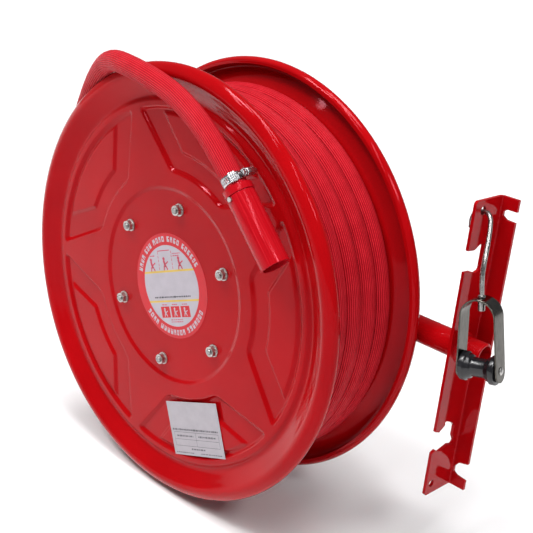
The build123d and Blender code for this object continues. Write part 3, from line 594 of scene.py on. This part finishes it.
def make_hose():
    """The whole hose, wound and free, as one tube along one spline."""
    path = spline_line(wound_points() + FREE_ROUTE)
    vertices, faces, lengths = tube_parts(path, HOSE_RADIUS, HOSE_SIDES)
    hose = add_mesh("hose", vertices, faces, [MATERIALS["hose_rubber"]], 60)
    layer = hose.data.uv_layers.new(name="around_along")
    for polygon in hose.data.polygons:
        if len(polygon.vertices) != 4:
            continue
        columns = [v % HOSE_SIDES for v in polygon.vertices]
        seam = max(columns) - min(columns) > 1
        for loop, vertex, column in zip(polygon.loop_indices, polygon.vertices, columns):
            around = 1.0 if seam and column == 0 else column / HOSE_SIDES
            layer.data[loop].uv = (around, lengths[vertex // HOSE_SIDES])
    print("hose length, m:", round(lengths[-1], 3))
    settle(hose, "reel", ["hose_coil", "hose_end"])
    return hose, path


HOSE, HOSE_PATH = make_hose()

# ------------------------------------------------------------------ side discs
RIM_SHAPE = [
    (0.241, 0.0010),
    (0.249, -0.0026),
    (0.263, 0.0045),
    (0.276, 0.0110),
    (0.287, 0.0065),
    (0.290, 0.0),
    (0.2865, -0.0062),
    (0.281, -0.0070),
]
PANELS = 5
FIRST_PANEL = radians(13)
PANEL_FAN = (0.151, radians(18.6), 0.236, radians(34.5))  # inner radius and half angle, then outer
ISLAND_FAN = (0.177, radians(12.4), 0.2295, radians(24))
PANEL_CORNER = 0.008
ISLAND_CORNER = 0.004
PANEL_SLOPE = 0.0062
PANEL_DEPTH = 0.0042
ISLAND_RISE = 0.0032
RECESS_R = 0.1262  # where the hub recess starts to rise
RECESS_SLOPE = 0.0072
RINGS = ((0.125, 8), (0.135, 10), (0.149, 4), (0.241, 60))  # outer radius and rows of each ring
RIM_ROWS = 6  # for each stretch of the rim's shape
DISC_COLUMNS = 720
LABEL_HOLE_R = 0.004  # hidden behind the round label
WALL_OPENING_R = 0.027


def fan_distance(x, z, r_in, half_in, r_out, half_out, corner):
    """Signed distance to a fan between two arcs, centred on +Z, corners rounded; negative inside."""
    radius = np.hypot(x, z)
    side_start = np.array((r_in * sin(half_in), r_in * cos(half_in)))
    side_end = np.array((r_out * sin(half_out), r_out * cos(half_out)))
    run = (side_end - side_start) / np.linalg.norm(side_end - side_start)
    off_side = (np.abs(x) - side_start[0]) * run[1] - (z - side_start[1]) * run[0]
    off_arc = np.maximum(r_in - radius, radius - r_out)
    outer = np.hypot(np.maximum(off_side + corner, 0), np.maximum(off_arc + corner, 0))
    return outer - corner + np.minimum(np.maximum(off_side, off_arc) + corner, 0)


def relief(x, z):
    """Height of the pressed panels over the flat sheet, at points seen from the front."""
    angle = np.arctan2(x, z) - FIRST_PANEL
    turned = (angle + pi / PANELS) % (2 * pi / PANELS) - pi / PANELS
    radius = np.hypot(x, z)
    px, pz = radius * np.sin(turned), radius * np.cos(turned)
    outline = fan_distance(px, pz, *PANEL_FAN, PANEL_CORNER)
    island = fan_distance(px, pz, *ISLAND_FAN, ISLAND_CORNER)
    down = smooth(-outline / PANEL_SLOPE)
    up = smooth(-island / PANEL_SLOPE)
    return -PANEL_DEPTH * down + ISLAND_RISE * up


def base_height(radius):
    """Height of the hub recess and the flat."""
    step = smooth((radius - RECESS_R) / RECESS_SLOPE)
    return HUB_HEIGHT + (FLAT_HEIGHT - HUB_HEIGHT) * step


def disc_surface(inner_radius, density, columns):
    """Points, normals and row count of the outer face, as (x, height, z) about the reel axis."""
    rings, start = [], inner_radius
    for end, ring_rows in RINGS:
        rings.append(np.linspace(start, end, int(ring_rows * density), endpoint=False))
        start = end
    radii = np.concatenate(rings)
    rim_rows = int(RIM_ROWS * density)
    rim = np.array(catmull([(0.229, FLAT_HEIGHT), *RIM_SHAPE], rim_rows))[rim_rows:]
    profile = np.concatenate([np.stack([radii, base_height(radii)], 1), rim])
    slope = np.gradient(profile, axis=0)
    slope /= np.linalg.norm(slope, axis=1)[:, None]
    turns = np.linspace(0, 2 * pi, columns, endpoint=False)
    radius = profile[:, 0][:, None] * np.ones(columns)
    x, z = radius * np.sin(turns), radius * np.cos(turns)
    height = profile[:, 1][:, None] + relief(x, z)
    small = 0.0003
    lean_x = (relief(x + small, z) - relief(x - small, z)) / (2 * small)
    lean_z = (relief(x, z + small) - relief(x, z - small)) / (2 * small)
    out, up = -slope[:, 1][:, None], slope[:, 0][:, None]
    normal_x = out * np.sin(turns) - lean_x * up
    normal_z = out * np.cos(turns) - lean_z * up
    normals = np.stack([normal_x, np.broadcast_to(up, x.shape), normal_z], -1)
    normals /= np.linalg.norm(normals, axis=-1)[..., None]
    return np.stack([x, height, z], -1), normals, len(profile)


def make_disc(name, node, rim_y, outward, inner_radius):
    """A pressed side disc with its thickness; outward is -1 for the front one and +1 for the rear."""
    columns, coarse = DISC_COLUMNS, DISC_COLUMNS // 2
    outer, outer_normals, rows = disc_surface(inner_radius, 1.0, columns)
    inner, inner_normals, inner_rows = disc_surface(inner_radius, 0.6, coarse)
    thickness = np.full(inner_rows, SHEET)
    thickness[-1] = 0
    inner = inner - inner_normals * thickness[:, None, None]
    places = np.concatenate([outer.reshape(-1, 3), inner.reshape(-1, 3)])
    normals = np.concatenate([outer_normals.reshape(-1, 3), -inner_normals.reshape(-1, 3)])
    for array in (places, normals):
        array[:, 1] *= outward
    places += np.array((REEL_X, rim_y, 0))
    outer_faces = grid_faces(rows, columns)
    inner_faces = grid_faces(inner_rows, coarse, rows * columns)
    if outward < 0:
        inner_faces = [tuple(reversed(face)) for face in inner_faces]
    else:
        outer_faces = [tuple(reversed(face)) for face in outer_faces]
    disc = add_mesh(name, places, outer_faces + inner_faces, [MATERIALS["red_paint"]], 180)
    disc.data.normals_split_custom_set_from_vertices([tuple(n) for n in normals])
    settle(disc, "reel", [node])


make_disc("front_disc_sheet", "front_disc", FRONT_RIM_Y, -1, LABEL_HOLE_R)
make_disc("rear_disc_sheet", "rear_disc", REAR_RIM_Y, 1, WALL_OPENING_R)

# ------------------------------------------------------------------ studs
BOLT_R = 0.1065
BOLT_ANGLE = radians(87.4)
STUD_COUNT = 6


def make_studs():
    """Six studs with a thread at both ends."""
    front, rear = -0.2211, -0.0539
    pitch, depth, radius, threaded = 0.00125, 0.0005, 0.004, 0.0125
    crest, root = radius - 0.0001, radius - depth
    profile = [(0.0, 0.0001), (0.0, root)]
    for k in range(int(threaded / pitch)):
        profile.append((k * pitch + 0.5 * pitch, crest))
        profile.append((k * pitch + pitch, root))
    profile.append((threaded + 0.001, crest))
    length = rear - front
    far_half = [(length - along, r) for along, r in reversed(profile)]
    parts = []
    for k in range(STUD_COUNT):
        angle = BOLT_ANGLE + k * 2 * pi / STUD_COUNT
        place = (REEL_X + BOLT_R * cos(angle), front, BOLT_R * sin(angle))
        parts.append(lathe_parts(profile + far_half, place, (0, 1, 0), 28))
    # The studs take the darker rod steel, as painted shade on their lit ends.
    studs = add_mesh("stud_threads", *join_parts(parts), [ROD_STEEL_AND_STUD_SHADE], 35)
    settle(studs, "reel", ["tie_studs"])


make_studs()

# ------------------------------------------------------------------ labels
PRINT_STEP = 0.00004  # from one printed layer to the next


def rectangle(x, z, wide, tall, turn=0.0):
    """Corners of a turned rectangle about its centre."""
    corners = []
    for sx, sz in ((-0.5, -0.5), (0.5, -0.5), (0.5, 0.5), (-0.5, 0.5)):
        dx, dz = sx * wide, sz * tall
        corners.append((x + dx * cos(turn) - dz * sin(turn), z + dx * sin(turn) + dz * cos(turn)))
    return corners


def circle(x, z, radius, count=96):
    """Points round a circle."""
    points = []
    for k in range(count):
        angle = 2 * pi * k / count
        points.append((x + radius * cos(angle), z + radius * sin(angle)))
    return points


def chord_band(z_low, z_high, radius):
    """Part of a circle between two heights."""
    points = []
    for z, sign in ((z_low, -1), (z_low, 1), (z_high, 1), (z_high, -1)):
        points.append((sign * sqrt(radius**2 - z**2), z))
    return points


def word_bars(draw, x, z, length, tall, ink):
    """A row of small bars in place of printed words."""
    bars = []
    at = x
    while at < x + length:
        wide = draw.uniform(0.0016, 0.0048)
        wide = min(wide, x + length - at)
        bars.append((ink, 3, rectangle(at + wide / 2, z, wide, tall * draw.uniform(0.7, 1.0))))
        at += wide + draw.uniform(0.0006, 0.0014)
    return bars


def figure(x, z, size, ink):
    """A plain picture mark: a head, a body, an arm and two legs."""
    return [
        (ink, 3, circle(x - 0.1 * size, z + 0.34 * size, 0.13 * size, 16)),
        (ink, 3, rectangle(x - 0.08 * size, z - 0.02 * size, 0.2 * size, 0.5 * size, 0.2)),
        (ink, 3, rectangle(x + 0.16 * size, z + 0.02 * size, 0.42 * size, 0.1 * size, 0.5)),
        (ink, 3, rectangle(x + 0.1 * size, z - 0.32 * size, 0.12 * size, 0.36 * size, 0.5)),
        (ink, 3, rectangle(x - 0.2 * size, z - 0.34 * size, 0.11 * size, 0.34 * size, -0.25)),
    ]


def flat_print(name, centre, face_y, turn, shapes, materials):
    """Flat printed shapes in thin layers on a label; each shape is (material, layer, outline)."""
    vertices, faces, inks = [], [], []
    for ink, layer, outline in shapes:
        base = len(vertices)
        y = face_y - PRINT_STEP * layer
        for x, z in outline:
            across_x = x * cos(turn) - z * sin(turn)
            up = x * sin(turn) + z * cos(turn)
            vertices.append((centre[0] + across_x, y, centre[1] + up))
        faces.append(tuple(base + k for k in range(len(outline))))
        inks.append(ink)
    sheet = add_mesh(name, vertices, faces, materials, 30)
    for polygon, ink in zip(sheet.data.polygons, inks):
        polygon.material_index = ink
    settle(sheet, "reel")


MARK_R = 0.0626
MARK_TALL = 0.0072
MARK_ARCS = ((-68, 64, (4, 7, 11, 15)), (124, 238, (7, 15)))  # degrees, marks before a wide gap
MARK_GAP, WORD_GAP = 1.9, 5.5  # degrees
MARK_SLOTS = (  # centre and size of the slot in a mark, as shares of the mark
    (0, 0, 0.34, 0.44),
    (0, -0.3, 0.34, 0.5),
    (0.3, 0.12, 0.5, 0.3),
    (0, 0.32, 0.3, 0.5),
)


def ring_marks(draw, mark_ink, slot_ink):
    """Slotted marks round the ring, in place of words."""
    shapes = []
    for start, end, word_ends in MARK_ARCS:
        at, number = start, 0
        while at < end:
            wide = draw.uniform(3.3, 4.7)
            angle = radians(at + wide / 2)
            span = MARK_R * radians(wide)
            slot_x, slot_z, slot_wide, slot_tall = draw.choice(MARK_SLOTS)
            mark = rectangle(0, 0, span, MARK_TALL)
            slot = rectangle(slot_x * span, slot_z * MARK_TALL, slot_wide * span, slot_tall * MARK_TALL)
            for ink, layer, outline in ((mark_ink, 2, mark), (slot_ink, 3, slot)):
                turned = []
                for x, z in outline:
                    across_x = MARK_R * sin(angle) + x * cos(angle) + z * sin(angle)
                    up = MARK_R * cos(angle) - x * sin(angle) + z * cos(angle)
                    turned.append((across_x, up))
                shapes.append((ink, layer, turned))
            number += 1
            at += wide + (WORD_GAP if number in word_ends else MARK_GAP)
    return shapes


def upper_pictures(draw, ink):
    """Three picture marks with dashed lines between them and small print above."""
    shapes = []
    for x, z in ((-0.031, 0.0300), (-0.004, 0.0305), (0.026, 0.0300)):
        shapes.extend(figure(x, z, 0.0180, ink))
    for x in (-0.0175, 0.0100):
        for k in range(5):
            shapes.append((ink, 3, rectangle(x + 0.0003 * k, 0.0240 + 0.0052 * k, 0.0010, 0.0036)))
    shapes.append((ink, 3, rectangle(-0.0040, 0.0475, 0.0250, 0.0012)))
    for x, z, length in ((-0.034, 0.0415, 0.010), (0.013, 0.0425, 0.016), (0.014, 0.0395, 0.012)):
        shapes.extend(word_bars(draw, x, z, length, 0.0017, ink))
    return shapes


def lower_pictures(draw, square_ink, figure_ink, word_ink):
    """Three squares with a picture mark in each and small print above."""
    shapes = []
    for x in (-0.0205, 0.0, 0.0205):
        shapes.append((square_ink, 3, rectangle(x, -0.0345, 0.0178, 0.0150)))
        for ink, layer, outline in figure(x, -0.0345, 0.0125, figure_ink):
            shapes.append((ink, layer + 1, outline))
        shapes.extend(word_bars(draw, x - 0.005, -0.0246, 0.010, 0.0016, word_ink))
    return shapes


def make_hub_label():
    """Round label: red ring, pale centre with two yellow lines, plain picture marks."""
    draw = random.Random(11)
    red, pale, yellow, ink, pink = range(5)
    box_low, box_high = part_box("hub_label")
    ring_r, centre_r = (box_high.x - box_low.x) / 2, 0.0545
    shapes = [(red, 1, circle(0, 0, ring_r)), (pale, 2, circle(0, 0, centre_r))]
    shapes.append((yellow, 3, chord_band(0.0185, 0.0212, centre_r)))
    shapes.append((yellow, 3, chord_band(-0.0212, -0.0187, centre_r)))
    shapes.extend(ring_marks(draw, pale, red))
    shapes.extend(upper_pictures(draw, pink))
    shapes.extend(lower_pictures(draw, red, pale, pink))
    shapes.extend(word_bars(draw, -0.038, -0.0145, 0.074, 0.0025, ink))
    for z in (-0.0452, -0.0480):
        shapes.extend(word_bars(draw, -0.012, z, 0.024, 0.0014, pink))
    materials = [PRINT_RED, PRINT_PALE, PRINT_YELLOW, PRINT_INK, PRINT_PINK]
    flat_print("hub_label_print", (REEL_X, 0.0), box_low.y, radians(21.6), shapes, materials)


SERVICE_WORDS = (  # left end, height, length and bar height of each row under the heading
    (-0.040, -0.0102, 0.034, 0.0026),
    (0.004, -0.0102, 0.036, 0.0026),
    (-0.014, -0.0280, 0.028, 0.0024),
    (-0.047, -0.0335, 0.036, 0.0016),
    (0.004, -0.0335, 0.042, 0.0016),
)


def make_service_label():
    """Rectangular label with rows of plain bars and ruled lines."""
    draw = random.Random(5)
    sheet, grey = range(2)
    wide, tall, line = 0.1016, 0.0736, 0.0005
    shapes = [(sheet, 1, rectangle(0, 0, wide, tall))]
    shapes.extend(word_bars(draw, -0.047, -0.0015, 0.093, 0.0028, grey))
    for z in (-0.0050, -0.0150, -0.0240):
        shapes.append((grey, 3, rectangle(0, z, 0.090, line)))
    for x in (-0.0450, -0.0010, 0.0450):
        shapes.append((grey, 3, rectangle(x, -0.0145, line, 0.0190)))
    for x, z, length, bar_tall in SERVICE_WORDS:
        shapes.extend(word_bars(draw, x, z, length, bar_tall, grey))
    box_low, box_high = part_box("service_label")
    centre = ((box_low.x + box_high.x) / 2, (box_low.z + box_high.z) / 2)
    flat_print("service_label_print", centre, box_low.y, radians(22), shapes, [PRINT_SHEET, PRINT_GREY])


make_hub_label()
make_service_label()

# ------------------------------------------------------------------ nozzle and hose clamp


COLLAR_WALL = [  # (along, radius) from the start of the collar
    (0.0, 0.0102),
    (0.0, 0.0184),
    (0.009, 0.0184),
    (0.009, 0.0150),
    (0.0105, 0.0150),
    (0.0105, 0.0102),
]
BARREL_WALL = [
    (0.0096, 0.0156),
    (0.0096, 0.0180),
    (0.1030, 0.0180),
    (0.1030, 0.0151),
    (0.0652, 0.0151),
    (0.0652, 0.0062),
    (0.0603, 0.0062),
    (0.0603, 0.0156),
]


def nozzle_shell(name, wall):
    """A wall turned about the nozzle's axis, with rounded corners."""
    parts = lathe_parts(soften(wall, 0.0006), NOZZLE_START, NOZZLE_DIR)
    shell = add_mesh(name, *parts, [MATERIALS["nozzle_plastic"]], 50)
    wrap_uv(shell, NOZZLE_START, NOZZLE_DIR)
    return shell


def make_nozzle():
    """Collar and twisting barrel with its open mouth."""
    collar = nozzle_shell("nozzle_collar", COLLAR_WALL)
    settle(collar, "reel")
    barrel = nozzle_shell("barrel_shell", BARREL_WALL)
    settle(barrel, "nozzle_barrel", ["nozzle_barrel"])
    return collar, barrel


def clamp_directions():
    """Directions out to the worm, along the nozzle, and square to both."""
    toward_worm = Vector((0, -1, 0)).cross(NOZZLE_DIR)
    toward_worm.normalize()
    if toward_worm.z < 0:
        toward_worm = -toward_worm
    return toward_worm, NOZZLE_DIR, toward_worm.cross(NOZZLE_DIR)


OUT, ALONG, SIDE = clamp_directions()
CLAMP_MIDDLE = NOZZLE_START - NOZZLE_DIR * 0.0095  # on the hose axis


def make_band():
    """Band with a row of slots, except beside the worm."""
    columns, radius, slant = 90, 0.01445, 0.0006
    rows = (-0.0055, -0.0030, 0.0030, 0.0055)  # the slots lie between the middle two
    vertices, faces = [], []
    for row in rows:
        for j in range(columns):
            angle = 2 * pi * j / columns
            skew = slant if row > 0 else -slant
            turned = angle + skew / radius
            vertices.append(CLAMP_MIDDLE + ALONG * row + (OUT * cos(turned) + SIDE * sin(turned)) * radius)
    for row in range(len(rows) - 1):
        for j in range(columns):
            near_worm = j > columns - 18 or j < 4
            if row == 1 and j % 3 == 0 and not near_worm:
                continue
            k = (j + 1) % columns
            first, second = row * columns, (row + 1) * columns
            faces.append((first + j, first + k, second + k, second + j))
    band = add_mesh("clamp_slotted_band", vertices, faces, [MATERIALS["plain_steel"]], 40)
    thicken = band.modifiers.new("sheet", "SOLIDIFY")
    thicken.thickness = 0.0008
    thicken.offset = 1
    settle(band, "reel", ["clamp_band"])
    return band


def housing_parts():
    """An arched cover round the worm, which runs from back to front."""
    arch = soften(mirrored([(-0.0052, -0.0034), (-0.0050, 0.0010), (-0.0026, 0.0036)]), 0.0014)
    centre = CLAMP_MIDDLE + OUT * 0.0200
    rows = ((0.0165, 0.90), (0.0160, 1.0), (0.0050, 1.0), (0.0045, 0.90))  # place, share of full size
    vertices = []
    for back, share in rows:
        for across_worm, height in arch:
            vertices.append(centre + SIDE * back + ALONG * across_worm * share + OUT * height * share)
    return vertices, capped_faces(len(rows), len(arch))


def saddle_parts():
    """A ribbed plate on the band beside the worm."""
    edges = (-0.0064, -0.0058, 0.0058, 0.0064)
    underside, rim, crown, rib_height = 0.0150, 0.0159, 0.0165, 0.00035
    ribs, steps = 3.5, 28
    vertices = []
    for j in range(steps + 1):
        angle = radians(26 + 30 * j / steps)
        outward = OUT * cos(angle) - SIDE * sin(angle)
        rib = crown + rib_height * sin(2 * pi * ribs * j / steps)
        for row, top in zip(edges, (rim, rib, rib, rim)):
            vertices.append(CLAMP_MIDDLE + ALONG * row + outward * top)
        for row in reversed(edges):
            vertices.append(CLAMP_MIDDLE + ALONG * row + outward * underside)
    return vertices, capped_faces(steps + 1, 2 * len(edges))


def make_cover():
    """Housing and saddle of the clamp, as one piece."""
    parts = join_parts([housing_parts(), saddle_parts()])
    cover = add_mesh("clamp_housing", *parts, [MATERIALS["plain_steel"]], 40)
    settle(cover, "reel")
    return cover


COLLAR, BARREL = make_nozzle()
BAND = make_band()
COVER = make_cover()

# ------------------------------------------------------------------ pipe and welds


PIPE_Y = -0.0305
PIPE_R = 0.01685
PIPE_BORE_R = 0.01365
PIPE_START_X = -0.3315
PIPE_THREAD_X = 0.0  # where the thread starts
PIPE_END_X = 0.020
PLATE_FACES = ((-0.0113, 1), (-0.0153, -1))  # x of each face of the bracket, and its outward step


def make_pipe():
    """Waterway pipe with its thread."""
    pitch, root, crest = 0.00231, 0.0156, 0.01662
    plain = PIPE_THREAD_X - PIPE_START_X
    length = PIPE_END_X - PIPE_START_X
    profile = [(0.0, PIPE_BORE_R), (0.0, PIPE_R), (plain - 0.001, PIPE_R)]
    for k in range(8):
        at = plain + 0.0005 + k * pitch
        profile.extend([(at, root), (at + 0.4 * pitch, crest), (at + 0.6 * pitch, crest)])
    profile.extend([(length - 0.0006, root), (length, 0.0150), (length, PIPE_BORE_R)])
    parts = lathe_parts(profile, (PIPE_START_X, PIPE_Y, 0), (1, 0, 0))
    pipe = add_mesh("waterway_pipe", *parts, [MATERIALS["red_paint"]], 35)
    settle(pipe, "wall_mount", ["inlet_pipe"])


def weld_parts(face_x, step):
    """One rippled bead round the pipe, on a face of the bracket."""
    columns, rows, size = 180, 9, 0.0034
    vertices, faces = [], []
    for j in range(columns):
        angle = 2 * pi * j / columns
        ripple = 1 + 0.10 * sin(34 * angle) + 0.05 * sin(5 * angle + 1)
        for i in range(rows):
            share = pi / 2 * i / (rows - 1)
            radius = 0.0168 + size * ripple * cos(share)
            x = face_x + step * size * ripple * sin(share)
            vertices.append((x, PIPE_Y + radius * cos(angle), radius * sin(angle)))
    for j in range(columns):
        k = (j + 1) % columns
        for i in range(rows - 1):
            faces.append((j * rows + i, j * rows + i + 1, k * rows + i + 1, k * rows + i))
    return vertices, faces


def make_welds():
    """Weld beads where the pipe goes through the bracket."""
    parts = join_parts([weld_parts(face_x, step) for face_x, step in PLATE_FACES])
    bead = add_mesh("weld_bead", *parts, [MATERIALS["red_paint"]], 60)
    settle(bead, "wall_mount", ["pipe_weld"])


make_pipe()
make_welds()

# ------------------------------------------------------------------ hose guide


def in_strap(x, y, z):
    return STRAP_FRAME @ Vector((x, y, z))


PIN_HALF = STRAP_ARC_R + (PIN_DROP - STRAP_ARC_R) * STRAP_FLARE  # to the strap's outside at the pin
PIN_CENTRE = in_strap(0, 0, -PIN_DROP)
PIN_AXIS = STRAP_FRAME.to_3x3() @ Vector((1, 0, 0))


def make_rod():
    """Bent rod with the collar above the strap and the head below it."""
    vertices, faces, _ = tube_parts(catmull(ROD_PATH, 6), ROD_R, 24)
    axis = STRAP_FRAME.to_3x3() @ Vector((0, 0, 1))
    head = soften([(-0.0155, 0.0001), (-0.0155, 0.0040), (-0.0028, 0.0042), (-0.0028, 0.0001)], 0.0008)
    collar = soften([(0.0003, 0.0001), (0.0003, 0.0045), (0.0030, 0.0038), (0.0030, 0.0001)], 0.0006)
    parts = [(vertices, faces)]
    for profile in (head, collar):
        parts.append(lathe_parts(profile, in_strap(0, 0, 0), axis, 32))
    rod = add_mesh("hook_rod", *join_parts(parts), [ROD_STEEL_AND_STUD_SHADE], 40)
    settle(rod, "guide_hook", ["guide_rod"])


def strap_stations():
    """(across, up, half width) along the strap's middle line, from foot to foot."""
    middle = STRAP_ARC_R - STRAP_SHEET / 2
    foot = STRAP_ARC_R + (STRAP_LENGTH - STRAP_ARC_R) * STRAP_FLARE - STRAP_SHEET / 2
    leg = STRAP_LENGTH - STRAP_ARC_R
    radius = STRAP_WIDTH / 2
    bow_steps, foot_steps = 14, 10
    half = []
    for k in range(bow_steps + 1):
        angle = pi / 2 * k / bow_steps
        half.append((middle * sin(angle), -STRAP_ARC_R + middle * cos(angle), radius))
    shares = [0.1, 0.4, 0.7]
    for k in range(foot_steps + 1):
        shares.append(1 - radius / leg * (1 - sin(pi / 2 * k / foot_steps)))
    for share in shares:
        left = leg * (1 - share)
        wide = radius
        if left < radius:
            wide = sqrt(max(radius**2 - (radius - left) ** 2, 1e-8))
        half.append((middle + (foot - middle) * share, -STRAP_ARC_R - leg * share, wide))
    return [(-x, z, wide) for x, z, wide in reversed(half[1:])] + half


def make_strap():
    """U-shaped strap with rounded feet and broken edges."""
    stations = strap_stations()
    thin, cut = STRAP_SHEET / 2, 0.00035
    vertices = []
    for i, (x, z, wide) in enumerate(stations):
        before, after = stations[max(i - 1, 0)], stations[min(i + 1, len(stations) - 1)]
        run = Vector((after[0] - before[0], after[1] - before[1])).normalized()
        nx, nz = -run.y, run.x
        edge = max(wide, 0.0006)
        section = [(edge - cut, thin), (edge, thin - cut), (edge, cut - thin), (edge - cut, -thin)]
        for y, n in mirrored(section):
            vertices.append(in_strap(x + nx * n, y, z + nz * n))
    faces = capped_faces(len(stations), 8)
    # The strap takes the darkened steel, painted shade in place of the dark surroundings it reflects.
    strap = add_mesh("strap_sheet", vertices, faces, [SHADED_STRAP_STEEL], 32)
    settle(strap, "guide_strap", ["guide_strap"])


def make_pin():
    """Riveted pin with domed heads."""
    head = [
        (-PIN_HALF - 0.0022, 0.0001),
        (-PIN_HALF - 0.0020, 0.0026),
        (-PIN_HALF - 0.0008, 0.0046),
        (-PIN_HALF - 0.0003, 0.0047),
        (-PIN_HALF - 0.0003, 0.0035),
    ]
    parts = lathe_parts(soften(mirrored(head), 0.0006), PIN_CENTRE, PIN_AXIS, 40)
    pin = add_mesh("pin_rivet", *parts, [MATERIALS["galvanised"]], 40)
    settle(pin, "guide_strap", ["roller_pin"])


def make_roller():
    """Flanged black roller with rounded edges."""
    half = PIN_HALF - STRAP_SHEET - 0.0009
    side = [
        (-half, 0.0037),
        (-half, 0.0090),
        (-half + 0.0006, 0.0166),
        (-half + 0.0014, 0.0174),
        (-half + 0.0068, 0.0174),
        (-half + 0.0084, 0.0154),
        (-half + 0.0124, 0.0138),
        (-half + 0.0140, 0.0114),
    ]
    parts = lathe_parts(soften(mirrored(side), 0.0009), PIN_CENTRE, PIN_AXIS, 72)
    roller = add_mesh("flanged_roller", *parts, [MATERIALS["black_plastic"]], 50)
    settle(roller, "guide_roller", ["guide_roller"])


make_rod()
make_strap()
make_pin()
make_roller()

# ------------------------------------------------------------------ floor and light
FLOOR_Z = -0.297


def make_floor():
    """Wide pale floor just under the reel."""
    made = Nodes("floor", Specular_IOR_Level=0.2)
    made.colour(made.ramp(made.noise(2.0, 3.0), [(0.3, (0.80, 0.80, 0.80)), (0.7, (0.84, 0.84, 0.84))]))
    made.rough(made.spread(made.noise(6.0, 3.0), 0.55, 0.7))
    size = 40.0
    corners = [(size * x, size * y, FLOOR_Z) for x, y in ((-1, -1), (1, -1), (1, 1), (-1, 1))]
    floor = add_mesh("floor", corners, [(0, 1, 2, 3)], [made.material])


def turned_light(name, light, place, target):
    """Lamp at a place, turned to its target."""
    obj = bpy.data.objects.new(name, light)
    obj.location = place
    obj.rotation_mode = "QUATERNION"
    obj.rotation_quaternion = (Vector(target) - Vector(place)).to_track_quat("-Z", "Y")
    bpy.context.scene.collection.objects.link(obj)


def add_panel(name, place, target, wide, tall, power):
    """Rectangular lamp, sizes in metres and power in watts."""
    light = bpy.data.lights.new(name, "AREA")
    light.shape = "RECTANGLE"
    light.size = wide
    light.size_y = tall
    light.energy = power
    turned_light(name, light, place, target)


def add_sky(name, place, target, strength, spread):
    """Distant lamp whose disc is spread degrees wide, for even light with soft shadows."""
    light = bpy.data.lights.new(name, "SUN")
    light.energy = strength
    light.angle = radians(spread)
    turned_light(name, light, place, target)


def make_light():
    """Dim surroundings, distant light from above and both sides, and three thin strips."""
    world = bpy.data.worlds.new("studio")
    bpy.context.scene.world = world
    world.use_nodes = True
    background = world.node_tree.nodes["Background"]
    background.inputs["Color"].default_value = (0.95, 0.96, 1.0, 1.0)
    background.inputs["Strength"].default_value = 0.24
    centre = (REEL_X, -0.15, 0.0)
    add_sky("top_sky", (REEL_X, -0.35, 3.0), centre, strength=1.9, spread=24)
    add_sky("left_sky", (REEL_X - 0.7, -1.2, 2.0), centre, strength=1.6, spread=15)
    add_sky("right_sky", (REEL_X + 1.6, -0.7, 1.7), centre, strength=0.8, spread=12)
    for number, x in enumerate((-1.1, -0.2, 0.7)):
        place, target = (x, -1.1, 2.0), (x, -0.2, 0.0)
        add_panel(f"strip_{number}", place, target, wide=0.12, tall=1.6, power=11)
    bpy.context.scene.view_settings.view_transform = "Standard"


make_floor()
make_light()
